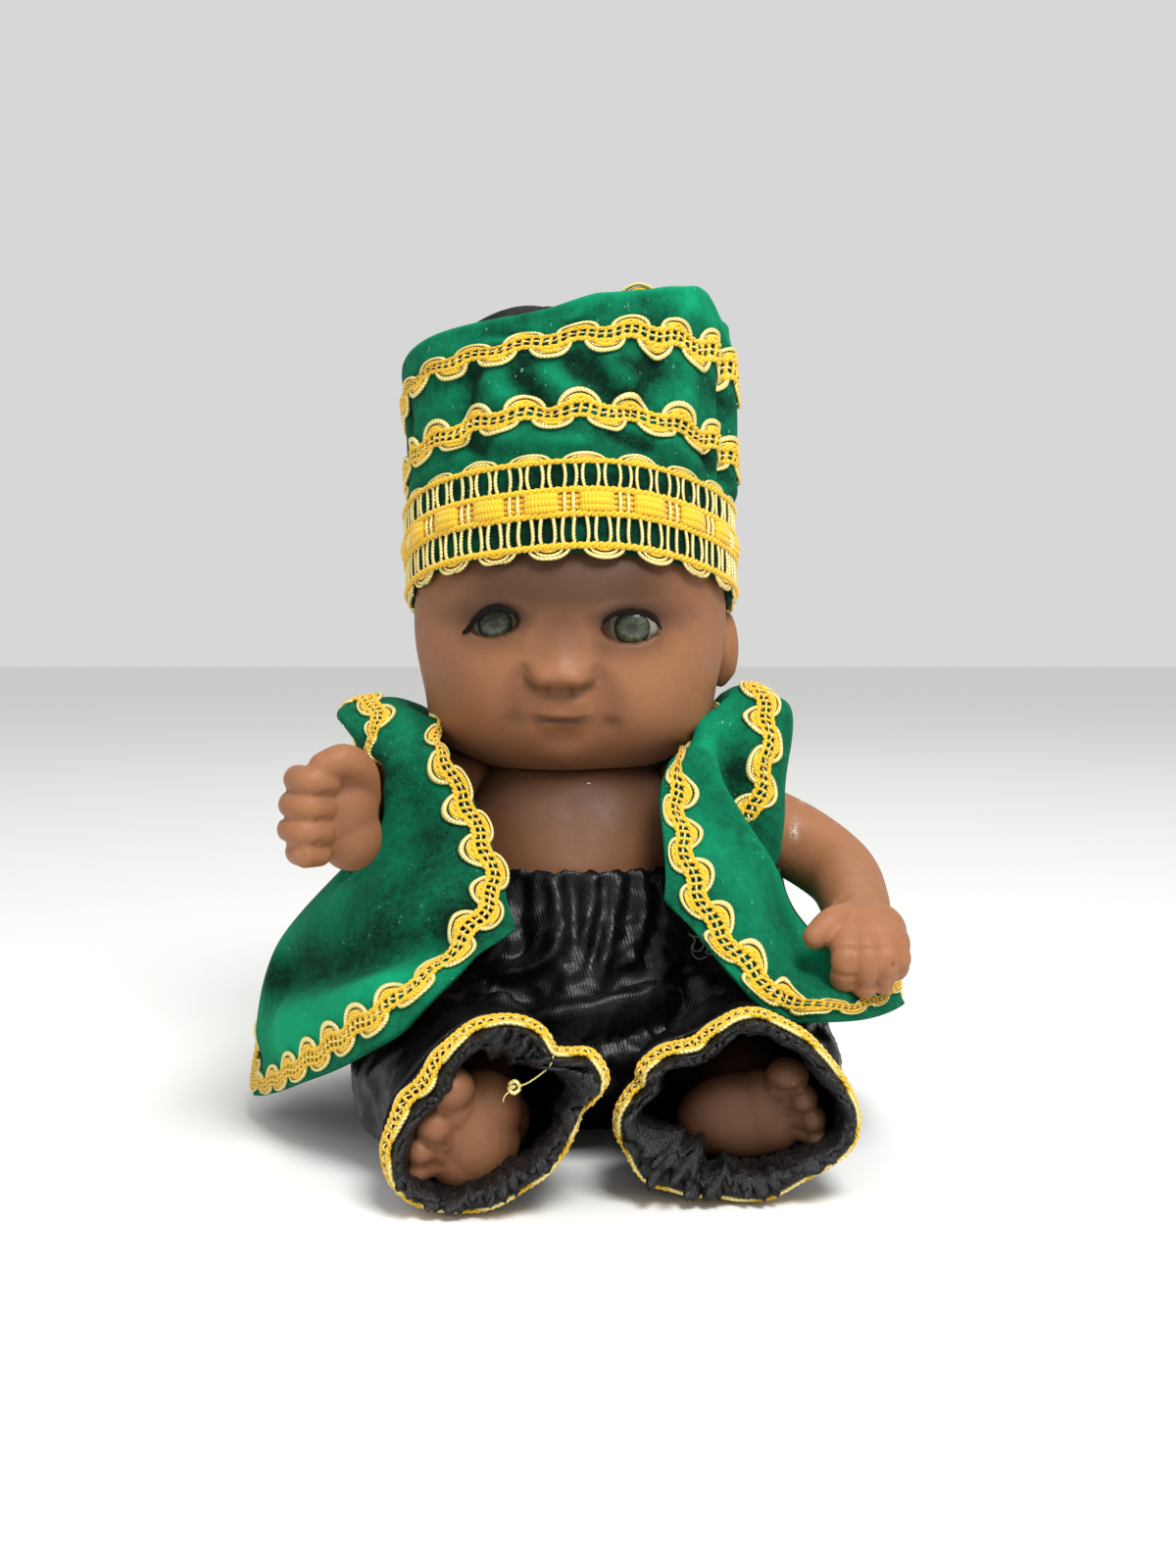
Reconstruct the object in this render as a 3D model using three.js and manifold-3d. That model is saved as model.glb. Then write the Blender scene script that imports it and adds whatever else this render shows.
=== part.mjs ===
// A small vinyl baby doll dressed as an orisha, sitting on the floor.
// Millimetres, +Z up, the doll looks toward -Y, left and right are the viewer's.
import * as THREE from 'three';
import { mergeVertices } from 'three/addons/utils/BufferGeometryUtils.js';
import Module from 'manifold-3d';

const wasm = await Module();
wasm.setup();

// Driving dimensions
const gap = 0.35;
const satinWall = 1.2;
const velvetWall = 1.3;
const trimThickness = 1.1;
const gimpWidth = 9.8;

const head = {
  centre: [-0.9, 1.5, 119],
  radius: [34.8, 34.6, 39],
  turn: -4,
  columns: 34,
  rows: 24,
  frontBias: 0.45,
};
const eye = { radius: 9, spread: 14.7, shift: 1.0, depth: -18.6, height: -1, aperture: [7, 7, 4] };
const ear = { side: 34.4, back: 6, height: -7.6, size: [3.4, 6.2, 8], bowl: 3.2 };

const cap = {
  wall: 1.2,
  halfWidth: 37.5,
  halfDepth: 36.8,
  tilt: 15.5,
  columns: 40,
  levels: [0, 0.25, 0.5, 0.72, 0.87, 1],
  browHeight: 122,
  topHeight: 185.5,
  centreY: [4, 9.5],
  topRoll: 8,
};
const browBand = { from: 0.0, to: 0.385 };
const capRows = { middle: 0.555, top: 0.815 };

const vest = { columns: 32, rows: 8 };
const armholes = {
  left: { u: 0.242, v: 0.43, du: 0.056, dv: 0.135 },
  right: { u: 0.746, v: 0.5, du: 0.05, dv: 0.19 },
};

const cuffs = {
  left: { rim: [-18, -80, 21.2], half: [20.6, 19], knee: [-29, -36, 21], hip: [-13, 2, 22] },
  right: { rim: [34, -72, 20.8], half: [23.6, 18.7], knee: [39, -33, 21], hip: [14, 2, 22] },
};
const legRadius = { hip: 22, knee: 21.8, sag: 0.2 };
const [legSides, legSteps] = [20, 6];
const waist = { height: 64, half: [30.6, 29.4], centreY: -3, pleats: 14, pleatDepth: 1.2 };
const lap = { centre: [5, -31, 28], radii: [24, 21, 14] };
const floorPad = 1.3;

// Small helpers
const vec = (p) => new THREE.Vector3(...p);
const rad = THREE.MathUtils.degToRad;
const lerp = THREE.MathUtils.lerp;
const smooth = THREE.MathUtils.smoothstep;

function along(values, t) {
  const place = t * (values.length - 1);
  const i = Math.min(Math.floor(place), values.length - 2);
  const pick = (k) => values[Math.min(Math.max(k, 0), values.length - 1)];
  const s = place - i;
  const [a, b, c, d] = [pick(i - 1), pick(i), pick(i + 1), pick(i + 2)];
  return b + 0.5 * s * (c - a + s * (2 * a - 5 * b + 4 * c - d + s * (3 * (b - c) + d - a)));
}

function signedVolume(points, faces) {
  return faces.reduce((sum, [a, b, c]) => sum + points[a].dot(points[b].clone().cross(points[c])), 0);
}

function meshFrom(points, faces) {
  const flip = signedVolume(points, faces) < 0;
  const index = faces.flatMap(([a, b, c]) => (flip ? [a, c, b] : [a, b, c]));
  const geometry = new THREE.BufferGeometry();
  geometry.setAttribute('position', new THREE.Float32BufferAttribute(points.flatMap((p) => p.toArray()), 3));
  geometry.setIndex(index);
  return geometry;
}

function toSolid(geometry) {
  geometry.deleteAttribute('normal');
  geometry.deleteAttribute('uv');
  const merged = mergeVertices(geometry, 1e-4);
  const index = merged.index.array;
  const faces = [];
  for (let i = 0; i < index.length; i += 3) {
    const [a, b, c] = [index[i], index[i + 1], index[i + 2]];
    if (a !== b && b !== c && c !== a) faces.push(a, b, c);
  }
  return new wasm.Manifold(new wasm.Mesh({
    numProp: 3,
    vertProperties: new Float32Array(merged.attributes.position.array),
    triVerts: new Uint32Array(faces),
  }));
}

function toGeometry(solid) {
  const mesh = solid.getMesh();
  const geometry = new THREE.BufferGeometry();
  const positions = [];
  for (let i = 0; i < mesh.vertProperties.length; i += mesh.numProp) {
    positions.push(...mesh.vertProperties.slice(i, i + 3));
  }
  geometry.setAttribute('position', new THREE.Float32BufferAttribute(positions, 3));
  geometry.setIndex([...mesh.triVerts]);
  return geometry;
}

const joined = (solids) => solids.reduce((all, one) => all.add(one));

// The outer skin alone, without pockets closed between joined parts.
function withoutPockets(solid) {
  const skins = solid.decompose().sort((a, b) => b.volume() - a.volume());
  return skins[0];
}

function ellipsoid(centre, radii, columns = 14, rows = 10) {
  const ball = new THREE.SphereGeometry(1, columns, rows);
  ball.rotateX(Math.PI / 2);
  ball.scale(...radii);
  ball.translate(...centre);
  return toSolid(ball);
}

// Rings of points joined into a closed body with a point at each end.
function lofted(rings, startPole, endPole) {
  const count = rings[0].length;
  const points = [...rings.flat(), startPole, endPole];
  const [start, end] = [points.length - 2, points.length - 1];
  const faces = [];
  for (let k = 0; k < count; k += 1) {
    const next = (k + 1) % count;
    for (let r = 0; r < rings.length - 1; r += 1) {
      const [a, b] = [r * count + k, r * count + next];
      faces.push([a, b, b + count], [a, b + count, a + count]);
    }
    const last = (rings.length - 1) * count;
    faces.push([start, next, k], [end, last + k, last + next]);
  }
  return meshFrom(points, faces);
}

// Rings of points joined one to the next and the last to the first.
function ringBody(rings) {
  const count = rings[0].length;
  const faces = [];
  rings.forEach((_, r) => {
    const [from, to] = [r * count, ((r + 1) % rings.length) * count];
    for (let k = 0; k < count; k += 1) {
      const next = (k + 1) % count;
      faces.push([from + k, from + next, to + next], [from + k, to + next, to + k]);
    }
  });
  return meshFrom(rings.flat(), faces);
}

// A round limb along a smooth route, with rounded ends; radii are spread evenly along it.
function limb(route, radii, sides = 8, steps = 5) {
  const curve = new THREE.CatmullRomCurve3(route.map(vec));
  const frames = curve.computeFrenetFrames(steps);
  const ring = (centre, i, radius) => Array.from({ length: sides }, (_, k) => {
    const turn = (2 * Math.PI * k) / sides;
    return centre.clone()
      .addScaledVector(frames.normals[i], radius * Math.cos(turn))
      .addScaledVector(frames.binormals[i], radius * Math.sin(turn));
  });
  const endRing = (i, sign, angle) => {
    const radius = along(radii, i / steps);
    const shift = sign * radius * 0.8 * Math.sin(angle);
    const centre = curve.getPoint(i / steps).addScaledVector(frames.tangents[i], shift);
    return [centre, radius * Math.cos(angle)];
  };
  const rings = [];
  const [startCentre, startRadius] = endRing(0, -1, rad(50));
  rings.push(ring(startCentre, 0, startRadius));
  for (let i = 0; i <= steps; i += 1) rings.push(ring(curve.getPoint(i / steps), i, along(radii, i / steps)));
  const [endCentre, endRadius] = endRing(steps, 1, rad(50));
  rings.push(ring(endCentre, steps, endRadius));
  return toSolid(lofted(rings, endRing(0, -1, rad(90))[0], endRing(steps, 1, rad(90))[0]));
}

// A cloth of even thickness: a grid of places on a surface, raised and backed along its normals.
function cloth(surface, uAt, vAt, raised, backed, closedU = false) {
  const [outer, inner] = [[], []];
  uAt.forEach((u) => vAt.forEach((v) => {
    const { point, normal } = surface(u, v);
    outer.push(point.clone().addScaledVector(normal, raised));
    inner.push(point.clone().addScaledVector(normal, -backed));
  }));
  const [n, m] = [uAt.length, vAt.length];
  const at = (i, j) => (i % n) * m + j;
  const side = n * m;
  const faces = [];
  const quad = (a, b, c, d) => faces.push([a, b, c], [a, c, d]);
  for (let i = 0; i < (closedU ? n : n - 1); i += 1) {
    for (let j = 0; j < m - 1; j += 1) {
      quad(at(i, j), at(i + 1, j), at(i + 1, j + 1), at(i, j + 1));
      quad(side + at(i, j), side + at(i, j + 1), side + at(i + 1, j + 1), side + at(i + 1, j));
    }
    quad(at(i + 1, 0), at(i, 0), side + at(i, 0), side + at(i + 1, 0));
    quad(at(i, m - 1), at(i + 1, m - 1), side + at(i + 1, m - 1), side + at(i, m - 1));
  }
  if (!closedU) {
    for (let j = 0; j < m - 1; j += 1) {
      quad(at(0, j), at(0, j + 1), side + at(0, j + 1), side + at(0, j));
      quad(at(n - 1, j + 1), at(n - 1, j), side + at(n - 1, j), side + at(n - 1, j + 1));
    }
  }
  return toSolid(meshFrom([...outer, ...inner], faces));
}

function withNormal(pointAt) {
  const step = 1e-3;
  return (u, v) => {
    const point = pointAt(u, v);
    const du = pointAt(u + step, v).sub(pointAt(u - step, v));
    const dv = pointAt(u, v + step).sub(pointAt(u, v - step));
    return { point, normal: du.cross(dv).normalize() };
  };
}

const evenly = (count, from = 0, to = 1) => (
  Array.from({ length: count + 1 }, (_, i) => from + ((to - from) * i) / count)
);

// Head: an egg shaped by soft pushes, with sockets for the eyes
const facePushes = [
  { at: [-20, -27, 101], reach: 17, out: 3.2 },
  { at: [18, -28, 101], reach: 17, out: 3.2 },
  { at: [-33, -6, 102], reach: 17, out: 1.8 },
  { at: [31, -6, 102], reach: 17, out: 1.8 },
  { at: [-1.5, -27, 86], reach: 12, out: 3.6 },
  { at: [-1.8, -33, 109.2], reach: 8.4, out: 6.2 },
  { at: [-1.6, -33, 116], reach: 7, out: 1.2 },
  { at: [-6.4, -34, 107.6], reach: 4.6, out: 1.6 },
  { at: [2.8, -34, 107.6], reach: 4.6, out: 1.6 },
  { at: [-2, -32, 98], reach: 8, out: 2.4 },
  { at: [-2, -34, 97], reach: 3, out: -1.1 },
  { at: [-11, -31, 97.5], reach: 3.6, out: -1.6 },
  { at: [7.5, -31, 97.5], reach: 3.6, out: -1.6 },
  { at: [-2, -32, 91.8], reach: 6, out: -1.6 },
  { at: [-16, -30, 118.5], reach: 9, out: -1.6 },
  { at: [13.6, -30, 118.5], reach: 9, out: -1.6 },
];

function pushed(geometry, pushes) {
  const places = geometry.attributes.position;
  const heart = vec(head.centre);
  for (let i = 0; i < places.count; i += 1) {
    const start = new THREE.Vector3().fromBufferAttribute(places, i);
    const away = start.clone().sub(heart).normalize();
    const move = pushes.reduce((sum, push) => {
      const near = 1 - smooth(start.distanceTo(vec(push.at)), 0, push.reach);
      return sum + push.out * near;
    }, 0);
    const end = start.addScaledVector(away, move);
    places.setXYZ(i, end.x, end.y, end.z);
  }
  return geometry;
}

function skull() {
  const egg = new THREE.SphereGeometry(1, head.columns, head.rows);
  egg.rotateX(Math.PI / 2);
  const places = egg.attributes.position;
  for (let i = 0; i < places.count; i += 1) {
    const p = new THREE.Vector3().fromBufferAttribute(places, i);
    const ring = Math.hypot(p.x, p.y);
    const side = Math.atan2(p.x, -p.y);
    const turned = side - head.frontBias * Math.sin(side);
    const jaw = 1 - 0.1 * smooth(-p.z, 0.55, 1);
    places.setXYZ(
      i,
      head.centre[0] + head.radius[0] * ring * Math.sin(turned) * jaw,
      head.centre[1] - head.radius[1] * ring * Math.cos(turned) * jaw,
      head.centre[2] + head.radius[2] * p.z,
    );
  }
  return egg;
}

const eyeCentre = (side) => [
  head.centre[0] + eye.shift + side * eye.spread,
  eye.depth,
  head.centre[2] + eye.height,
];

function turnedHead(solid) {
  const mesh = toGeometry(solid);
  mesh.translate(-head.centre[0], -head.centre[1], 0);
  mesh.rotateZ(rad(head.turn));
  mesh.translate(head.centre[0], head.centre[1], 0);
  return toSolid(mesh);
}

function makeHead() {
  let solid = toSolid(pushed(skull(), facePushes));
  for (const side of [-1, 1]) {
    const [x, y, z] = eyeCentre(side);
    const lobe = [head.centre[0] + side * ear.side, ear.back, head.centre[2] + ear.height];
    const bowl = [lobe[0] + side * 3.2, lobe[1] - 0.6, lobe[2] + 1];
    solid = solid.add(ellipsoid(lobe, ear.size, 10, 8));
    solid = solid.subtract(ellipsoid(bowl, [2.2, ear.bowl, ear.bowl * 1.7], 8, 6));
    solid = solid.subtract(ellipsoid([x, y, z], Array(3).fill(eye.radius + 2 * gap), 10, 7));
    solid = solid.subtract(ellipsoid([x + side * 1.2, y - 9, z], eye.aperture, 12, 6));
  }
  return turnedHead(solid);
}

const makeEye = (side) => turnedHead(ellipsoid(eyeCentre(side), Array(3).fill(eye.radius), 12, 8));

// Torso: stacked ovals from the seat to the neck
const torsoOvals = [
  { z: 5, half: [14, 12], y: 1 },
  { z: 9, half: [23, 20], y: 0 },
  { z: 24, half: [28, 25], y: -1 },
  { z: 42, half: [29, 27.5], y: -2 },
  { z: 60, half: [27, 26], y: -3 },
  { z: 72, half: [25.5, 22.5], y: -3 },
  { z: 82, half: [21, 17], y: -2 },
  { z: 90, half: [12, 10], y: 0 },
];

function makeTorso(grow) {
  const rings = torsoOvals.map(({ z, half, y }) => Array.from({ length: 24 }, (_, k) => {
    const turn = (2 * Math.PI * k) / 24;
    return new THREE.Vector3((half[0] + grow) * Math.cos(turn), y + (half[1] + grow) * Math.sin(turn), z);
  }));
  const [low, high] = [torsoOvals[0], torsoOvals.at(-1)];
  return toSolid(lofted(rings, new THREE.Vector3(0, low.y, low.z - 1.2), new THREE.Vector3(0, high.y, high.z + 1)));
}

// Arms: an upper arm and forearm, a palm and curled fingers
const arms = {
  left: {
    route: [[-26, 4, 77], [-40, 4, 78], [-51.5, -2, 78], [-54, -18, 78], [-52.8, -42, 79]],
    radii: [9.6, 9.8, 9.8, 9.6, 8.6],
  },
  right: {
    route: [[26, 3, 76], [40, 4, 71.5], [53, 4, 66], [62.8, -5, 59.5], [64.6, -21, 54.5], [63.6, -34, 52]],
    radii: [9.6, 9.6, 9.4, 8.8, 7.8, 7.4],
  },
};
const armRooms = [arms.left, arms.right].map(({ route, radii }) => (
  limb(route, radii.map((r) => r + 2 * gap), 12, 7)
));

function makeLeftArm() {
  const parts = [limb(arms.left.route, arms.left.radii, 12, 7), ellipsoid([-51.5, -50, 79.5], [8.2, 8, 10.6], 10, 7)];
  const knuckleHeights = [87.6, 82, 76.2, 70.8];
  knuckleHeights.forEach((z, i) => {
    const lean = i * 0.5;
    parts.push(limb([
      [-46.5 - lean, -56.5, z - 0.6],
      [-52 - lean, -59.6, z + 0.2],
      [-57.4 - lean * 0.4, -57, z],
      [-58.4 - lean * 0.3, -51, z - 0.6],
    ], [3.2, 3.5, 3.5, 3.2], 6, 3));
  });
  parts.push(limb([[-45.5, -47, 83.5], [-45, -53.5, 87.4], [-47.5, -57.5, 90.6]], [4.4, 4, 3.3], 8, 3));
  return joined(parts);
}

function makeRightArm() {
  const parts = [
    limb(arms.right.route, arms.right.radii, 12, 7),
    ellipsoid([63.6, -42, 51], [9.2, 8.6, 7.8], 10, 7),
  ];
  const fingerFan = [[58.4, 44.4, -52], [62.6, 42.2, -51.5], [66.8, 42.4, -49.5], [70, 44.2, -46]];
  fingerFan.forEach(([x, z, y]) => {
    parts.push(limb([
      [lerp(63.6, x, 0.75), y + 5.5, 52],
      [lerp(63.6, x, 0.95), y - 0.2, 49.2],
      [x, y, z],
    ], [3.2, 3.3, 2.9], 7, 3));
  });
  parts.push(limb([[59, -44, 53.5], [55.2, -48, 53.2], [51.4, -49.5, 51]], [4, 3.4, 2.8], 8, 3));
  return joined(parts);
}

// Legs: a bent leg inside the trousers and a foot showing its sole
function makeLeg({ route, heel, ball, toes }) {
  const parts = [limb(route, [11, 11.5, 10.5, 8.2], 12, 6)];
  const middle = heel.map((h, i) => lerp(h, ball[i], 0.5));
  parts.push(limb([heel, middle, ball], [7.2, 7.4, 8.6], 12, 4));
  toes.forEach((toe, i) => {
    const size = i === 0 ? 4.1 : 3.3 - i * 0.12;
    const root = toe.map((t, k) => lerp(t, ball[k], 0.42));
    parts.push(limb([root, toe], [size * 0.95, size], 7, 1));
  });
  return joined(parts);
}

const leftLeg = {
  route: [[-12, -2, 19], [-26, -30, 18], [-25, -50, 18], [-17, -62, 15]],
  heel: [-16, -66, 12.6],
  ball: [-22.5, -68.5, 18],
  toes: [[-24.4, -73.4, 25], [-27.6, -74, 19.2], [-28.6, -74, 14.4], [-28.2, -73.4, 10.2]],
};
const rightLeg = {
  route: [[12, -2, 19], [36, -26, 18], [40, -44, 18], [34, -54, 15]],
  heel: [31, -59, 13.4],
  ball: [40.5, -61, 18.5],
  toes: [[45.6, -64.5, 25.6], [48.4, -66, 20.4], [48.8, -66, 15.6], [47.6, -65, 11.4]],
};

// Cap: a tilted velvet tube, a little wider at the top and rolled to one side
function capPoint(u, v) {
  const turn = 2 * Math.PI * u;
  const crease = 1 - 0.022 * Math.exp(-(((u - 0.13) / 0.02) ** 2)) * smooth(v, 0.35, 0.8);
  const bulge = 1 + 0.014 * Math.sin(3 * turn + 5 * v) * smooth(v, 0.2, 1);
  const [across, deep] = [cap.halfWidth, cap.halfDepth].map((half) => half * crease * bulge);
  const x = across * Math.sin(turn) + lerp(0.1, -1.6, v);
  const y = -deep * Math.cos(turn);
  const roll = Math.tan(rad(cap.topRoll)) * smooth(v, 0.75, 1);
  const slope = Math.tan(rad(lerp(cap.tilt, 9, smooth(v, 0.8, 1))));
  const z = lerp(cap.browHeight, cap.topHeight, v) - y * slope + x * roll;
  return new THREE.Vector3(x, y + lerp(...cap.centreY, v), z);
}
const capSurface = withNormal(capPoint);

function makeCap() {
  return cloth(capSurface, evenly(cap.columns).slice(0, -1), cap.levels, 0, cap.wall, true);
}

function makeCapTrim(from, to) {
  const lift = gap + trimThickness;
  const around = evenly(cap.columns).slice(0, -1);
  return cloth(capSurface, around, [from, to], lift, -gap, true);
}

function makeCapCrown() {
  const inset = cap.wall + 0.6;
  const levels = [0, 0.35, 0.7, 0.92, 1];
  const crownPoint = (u, reach) => {
    const rim = capSurface(u, 0.93);
    const edge = rim.point.clone().addScaledVector(rim.normal, -inset);
    const middle = new THREE.Vector3(-1.5, cap.centreY[1], cap.topHeight - 3);
    const puff = 9 * (1 - reach ** 2) + 4.5 * Math.exp(-(((u - 0.87) / 0.09) ** 2)) * Math.sin(Math.PI * reach);
    return middle.lerp(edge, reach).add(new THREE.Vector3(0, 0, puff));
  };
  const sheet = (drop) => evenly(28).slice(0, -1).map((u) => (
    levels.slice(1).map((reach) => crownPoint(u, reach).add(new THREE.Vector3(0, 0, -drop)))
  ));
  const top = sheet(0);
  const under = sheet(satinWall);
  const rings = [
    ...levels.slice(1).map((_, j) => top.map((column) => column[j])),
    ...levels.slice(1).map((_, j) => under.map((column) => column[levels.length - 2 - j])),
  ];
  const peak = crownPoint(0, 0);
  return toSolid(lofted(rings, peak, peak.clone().add(new THREE.Vector3(0, 0, -satinWall))));
}

// Vest: falls of velvet from the neckline over the shoulder and chest to the hem,
// in order from the left front edge round the back to the right front edge
const vestFalls = [
  [[-33, -20, 96], [-27.5, -24.5, 89], [-20.6, -32, 77], [-15, -41.5, 65], [-12, -50, 53.5]],
  [[-36, -9, 99], [-42, -16, 91], [-39.5, -28, 74], [-38, -49, 53], [-36.5, -67, 34]],
  [[-38, 4, 100], [-56, 3, 97], [-46, 1, 72], [-71, -5, 41], [-78, 0, 4]],
  [[-29, 21, 97], [-40, 28, 86], [-44, 34, 62], [-53, 40, 37], [-60, 42, 14]],
  [[0, 32, 94], [0, 38.5, 82], [0, 43.5, 60], [0, 50, 36], [0, 54, 12]],
  [[29, 21, 98], [40, 28, 88], [44, 33, 65], [50, 38, 42], [56, 38, 22]],
  [[38.4, 4, 102.5], [51, 1, 99], [51, -4, 76], [54, -14, 53], [75, -20, 32]],
  [[35, -10, 100], [39.5, -15.5, 91], [38, -24, 76], [41, -47, 55], [45.6, -60.5, 37]],
  [[29, -21.5, 95], [25.6, -26, 89], [22.8, -33, 79], [21, -40.5, 70], [20, -48, 60]],
];

function vestPoint(u, v) {
  const axis = (k) => along(vestFalls.map((fall) => along(fall.map((p) => p[k]), v)), u);
  return new THREE.Vector3(axis(0), axis(1), axis(2));
}
const vestSurface = (u, v) => {
  const { point, normal } = withNormal((a, b) => vestPoint(
    THREE.MathUtils.clamp(a, 0, 1),
    THREE.MathUtils.clamp(b, 0, 1),
  ))(u, v);
  return { point, normal };
};

function armholePlug({ u, v, du, dv }, reach = 9) {
  const around = evenly(16).slice(0, -1);
  const rings = [0.5, 1];
  const place = (turn, ring) => vestSurface(
    u + du * ring * Math.cos(2 * Math.PI * turn),
    v + dv * ring * Math.sin(2 * Math.PI * turn),
  );
  const middle = vestSurface(u, v);
  const face = (lift) => rings.map((ring) => around.map((turn) => {
    const { point, normal } = place(turn, ring);
    return point.addScaledVector(normal, lift);
  }));
  const poles = [reach, -reach].map((lift) => middle.point.clone().addScaledVector(middle.normal, lift));
  return toSolid(lofted([...face(reach), ...face(-reach).reverse()], ...poles));
}

function vestSheet(raised) {
  return cloth(vestSurface, evenly(vest.columns), evenly(vest.rows), raised, velvetWall);
}

// A trim laid on the vest along a closed route of [u, v] places
function vestTrim(route) {
  const half = gimpWidth / 2;
  const middle = route.map(([u, v]) => vestSurface(u, v));
  const count = route.length;
  const strip = middle.map(({ point, normal }, i) => {
    const before = middle[(i + count - 1) % count].point;
    const after = middle[(i + 1) % count].point;
    const across = after.clone().sub(before).normalize().cross(normal).normalize();
    return [-half, half].map((shift) => ({
      point: point.clone().addScaledVector(across, shift),
      normal,
    }));
  });
  const lift = 2.4 * gap;
  return cloth((i, j) => strip[i][j], strip.map((_, i) => i), [0, 1], lift + trimThickness, -lift, true);
}

function vestEdgeRoute() {
  const edge = 0.028;
  const low = 0.936;
  const corner = 0.012;
  const down = evenly(9, 0.09, low - 0.06).map((v) => [edge, v]);
  const hem = evenly(42, edge + corner, 1 - edge - corner).map((u) => [u, low]);
  const up = evenly(9, low - 0.06, 0.09).map((v) => [1 - edge, v]);
  const neck = evenly(28, 1 - edge - corner, edge + corner).map((u) => [u, 0.06]);
  return [...down, ...hem, ...up, ...neck];
}

const armholeRoute = ({ u, v, du, dv }) => evenly(28).slice(0, -1).map((turn) => [
  u + du * 1.42 * Math.cos(2 * Math.PI * turn),
  v + dv * 1.38 * Math.sin(2 * Math.PI * turn),
]);

// Trousers: a gathered seat and two ballooning legs, open at the waist and the cuffs
function seatSurface(inset) {
  const levels = [
    { z: -5, half: [35, 21], y: 9 },
    { z: 12, half: [38, 30], y: 4 },
    { z: 30, half: [38.5, 37], y: -4 },
    { z: 44, half: [35, 35.5], y: -5 },
    { z: 56, half: [32.5, 31], y: -4 },
    { z: waist.height, half: waist.half, y: waist.centreY },
    { z: waist.height + (inset > 0 ? 6 : 0.5), half: waist.half, y: waist.centreY },
  ];
  const sides = waist.pleats * 3;
  const rings = levels.map(({ z, half, y }) => Array.from({ length: sides }, (_, k) => {
    const turn = (2 * Math.PI * k) / sides;
    const pleat = waist.pleatDepth * Math.cos(waist.pleats * turn) * smooth(z, 26, 56);
    return new THREE.Vector3(
      (half[0] - inset + pleat) * Math.cos(turn),
      y + (half[1] - inset + pleat) * Math.sin(turn),
      z,
    );
  }));
  const [low, high] = [levels[0], levels.at(-1)];
  return toSolid(lofted(rings, new THREE.Vector3(0, low.y, low.z), new THREE.Vector3(0, high.y, high.z)));
}

const legRoute = ({ rim, knee, hip }) => new THREE.CatmullRomCurve3([
  hip,
  [lerp(hip[0], knee[0], 0.5), lerp(hip[1], knee[1], 0.5), 21],
  knee,
  [lerp(knee[0], rim[0], 0.55), lerp(knee[1], rim[1], 0.5), 21],
  rim,
].map(vec));

// One place on a trouser leg: t runs from the hip to the cuff, turn goes round it
function legPoint(cuff, t, turn, grow) {
  const route = legRoute(cuff);
  const forward = route.getTangent(t);
  const across = new THREE.Vector3(-forward.y, forward.x, 0).normalize();
  const open = smooth(t, 0.55, 1);
  const fold = 0.9 * Math.sin(24 * t) * (1 - open) * smooth(t, 0.15, 0.4);
  const sag = 1 - legRadius.sag * smooth(t, 0.35, 0.7) * (1 - smooth(t, 0.8, 1));
  const [wide, tall] = cuff.half.map((size) => (
    lerp(lerp(legRadius.hip, legRadius.knee, smooth(t, 0, 0.5)), size, open) * sag + fold + grow
  ));
  const square = (value) => Math.sign(value) * Math.abs(value) ** 0.86;
  return route.getPoint(t)
    .addScaledVector(across, wide * square(Math.cos(turn)))
    .add(new THREE.Vector3(0, 0, tall * square(Math.sin(turn))));
}

const legRing = (cuff, t, grow) => evenly(legSides).slice(0, -1).map((part) => (
  legPoint(cuff, t, 2 * Math.PI * part, grow)
));
const middleOf = (ring) => ring.reduce((sum, p) => sum.add(p), new THREE.Vector3()).divideScalar(ring.length);

function trouserLeg(cuff, grow, beyond) {
  const rings = evenly(legSteps).map((t) => legRing(cuff, t, grow));
  const outward = legRoute(cuff).getTangent(1).multiplyScalar(beyond);
  if (beyond > 0) rings.push(rings.at(-1).map((p) => p.clone().add(outward)));
  return toSolid(lofted(rings, middleOf(rings[0]), middleOf(rings.at(-1))));
}

function above(height) {
  const block = new THREE.BoxGeometry(400, 400, 200);
  block.translate(0, 0, height + 100);
  return toSolid(block);
}

function makeTrousers() {
  const outer = joined([
    seatSurface(0),
    ellipsoid(lap.centre, lap.radii, 16, 8),
    trouserLeg(cuffs.left, 0, 0),
    trouserLeg(cuffs.right, 0, 0),
  ]);
  const inner = joined([
    seatSurface(satinWall),
    ellipsoid(lap.centre, lap.radii.map((r) => r - satinWall), 16, 8),
    trouserLeg(cuffs.left, -satinWall, 3),
    trouserLeg(cuffs.right, -satinWall, 3),
  ]);
  return outer.intersect(above(0)).subtract(inner.intersect(above(floorPad)));
}

// The gimp round a cuff: its back edge, its front edge a little past the cloth, and its walls
function makeCuffTrim(cuff) {
  const past = legRoute(cuff).getTangent(1).multiplyScalar(0.8);
  const ring = (t, grow, shift) => legRing(cuff, t, grow).map((p) => p.addScaledVector(past, shift));
  const [low, high] = [gap, gap + trimThickness];
  const back = 1 - gimpWidth / legRoute(cuff).getLength();
  return toSolid(ringBody([ring(back, low, 0), ring(back, high, 0), ring(1, high, 1), ring(1, low, 1)]));
}

// Colours and finishes
const vinyl = { color: 0x5e3b2b, roughness: 0.5, metalness: 0 };
const velvet = { color: 0x006e46, roughness: 0.95, metalness: 0 };
const satin = { color: 0x19191b, roughness: 0.55, metalness: 0 };
const gimp = { color: 0xe6b422, roughness: 0.6, metalness: 0.1 };
const glass = { color: 0x3c4432, roughness: 0.1, metalness: 0 };

const doll = new THREE.Group();

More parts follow.
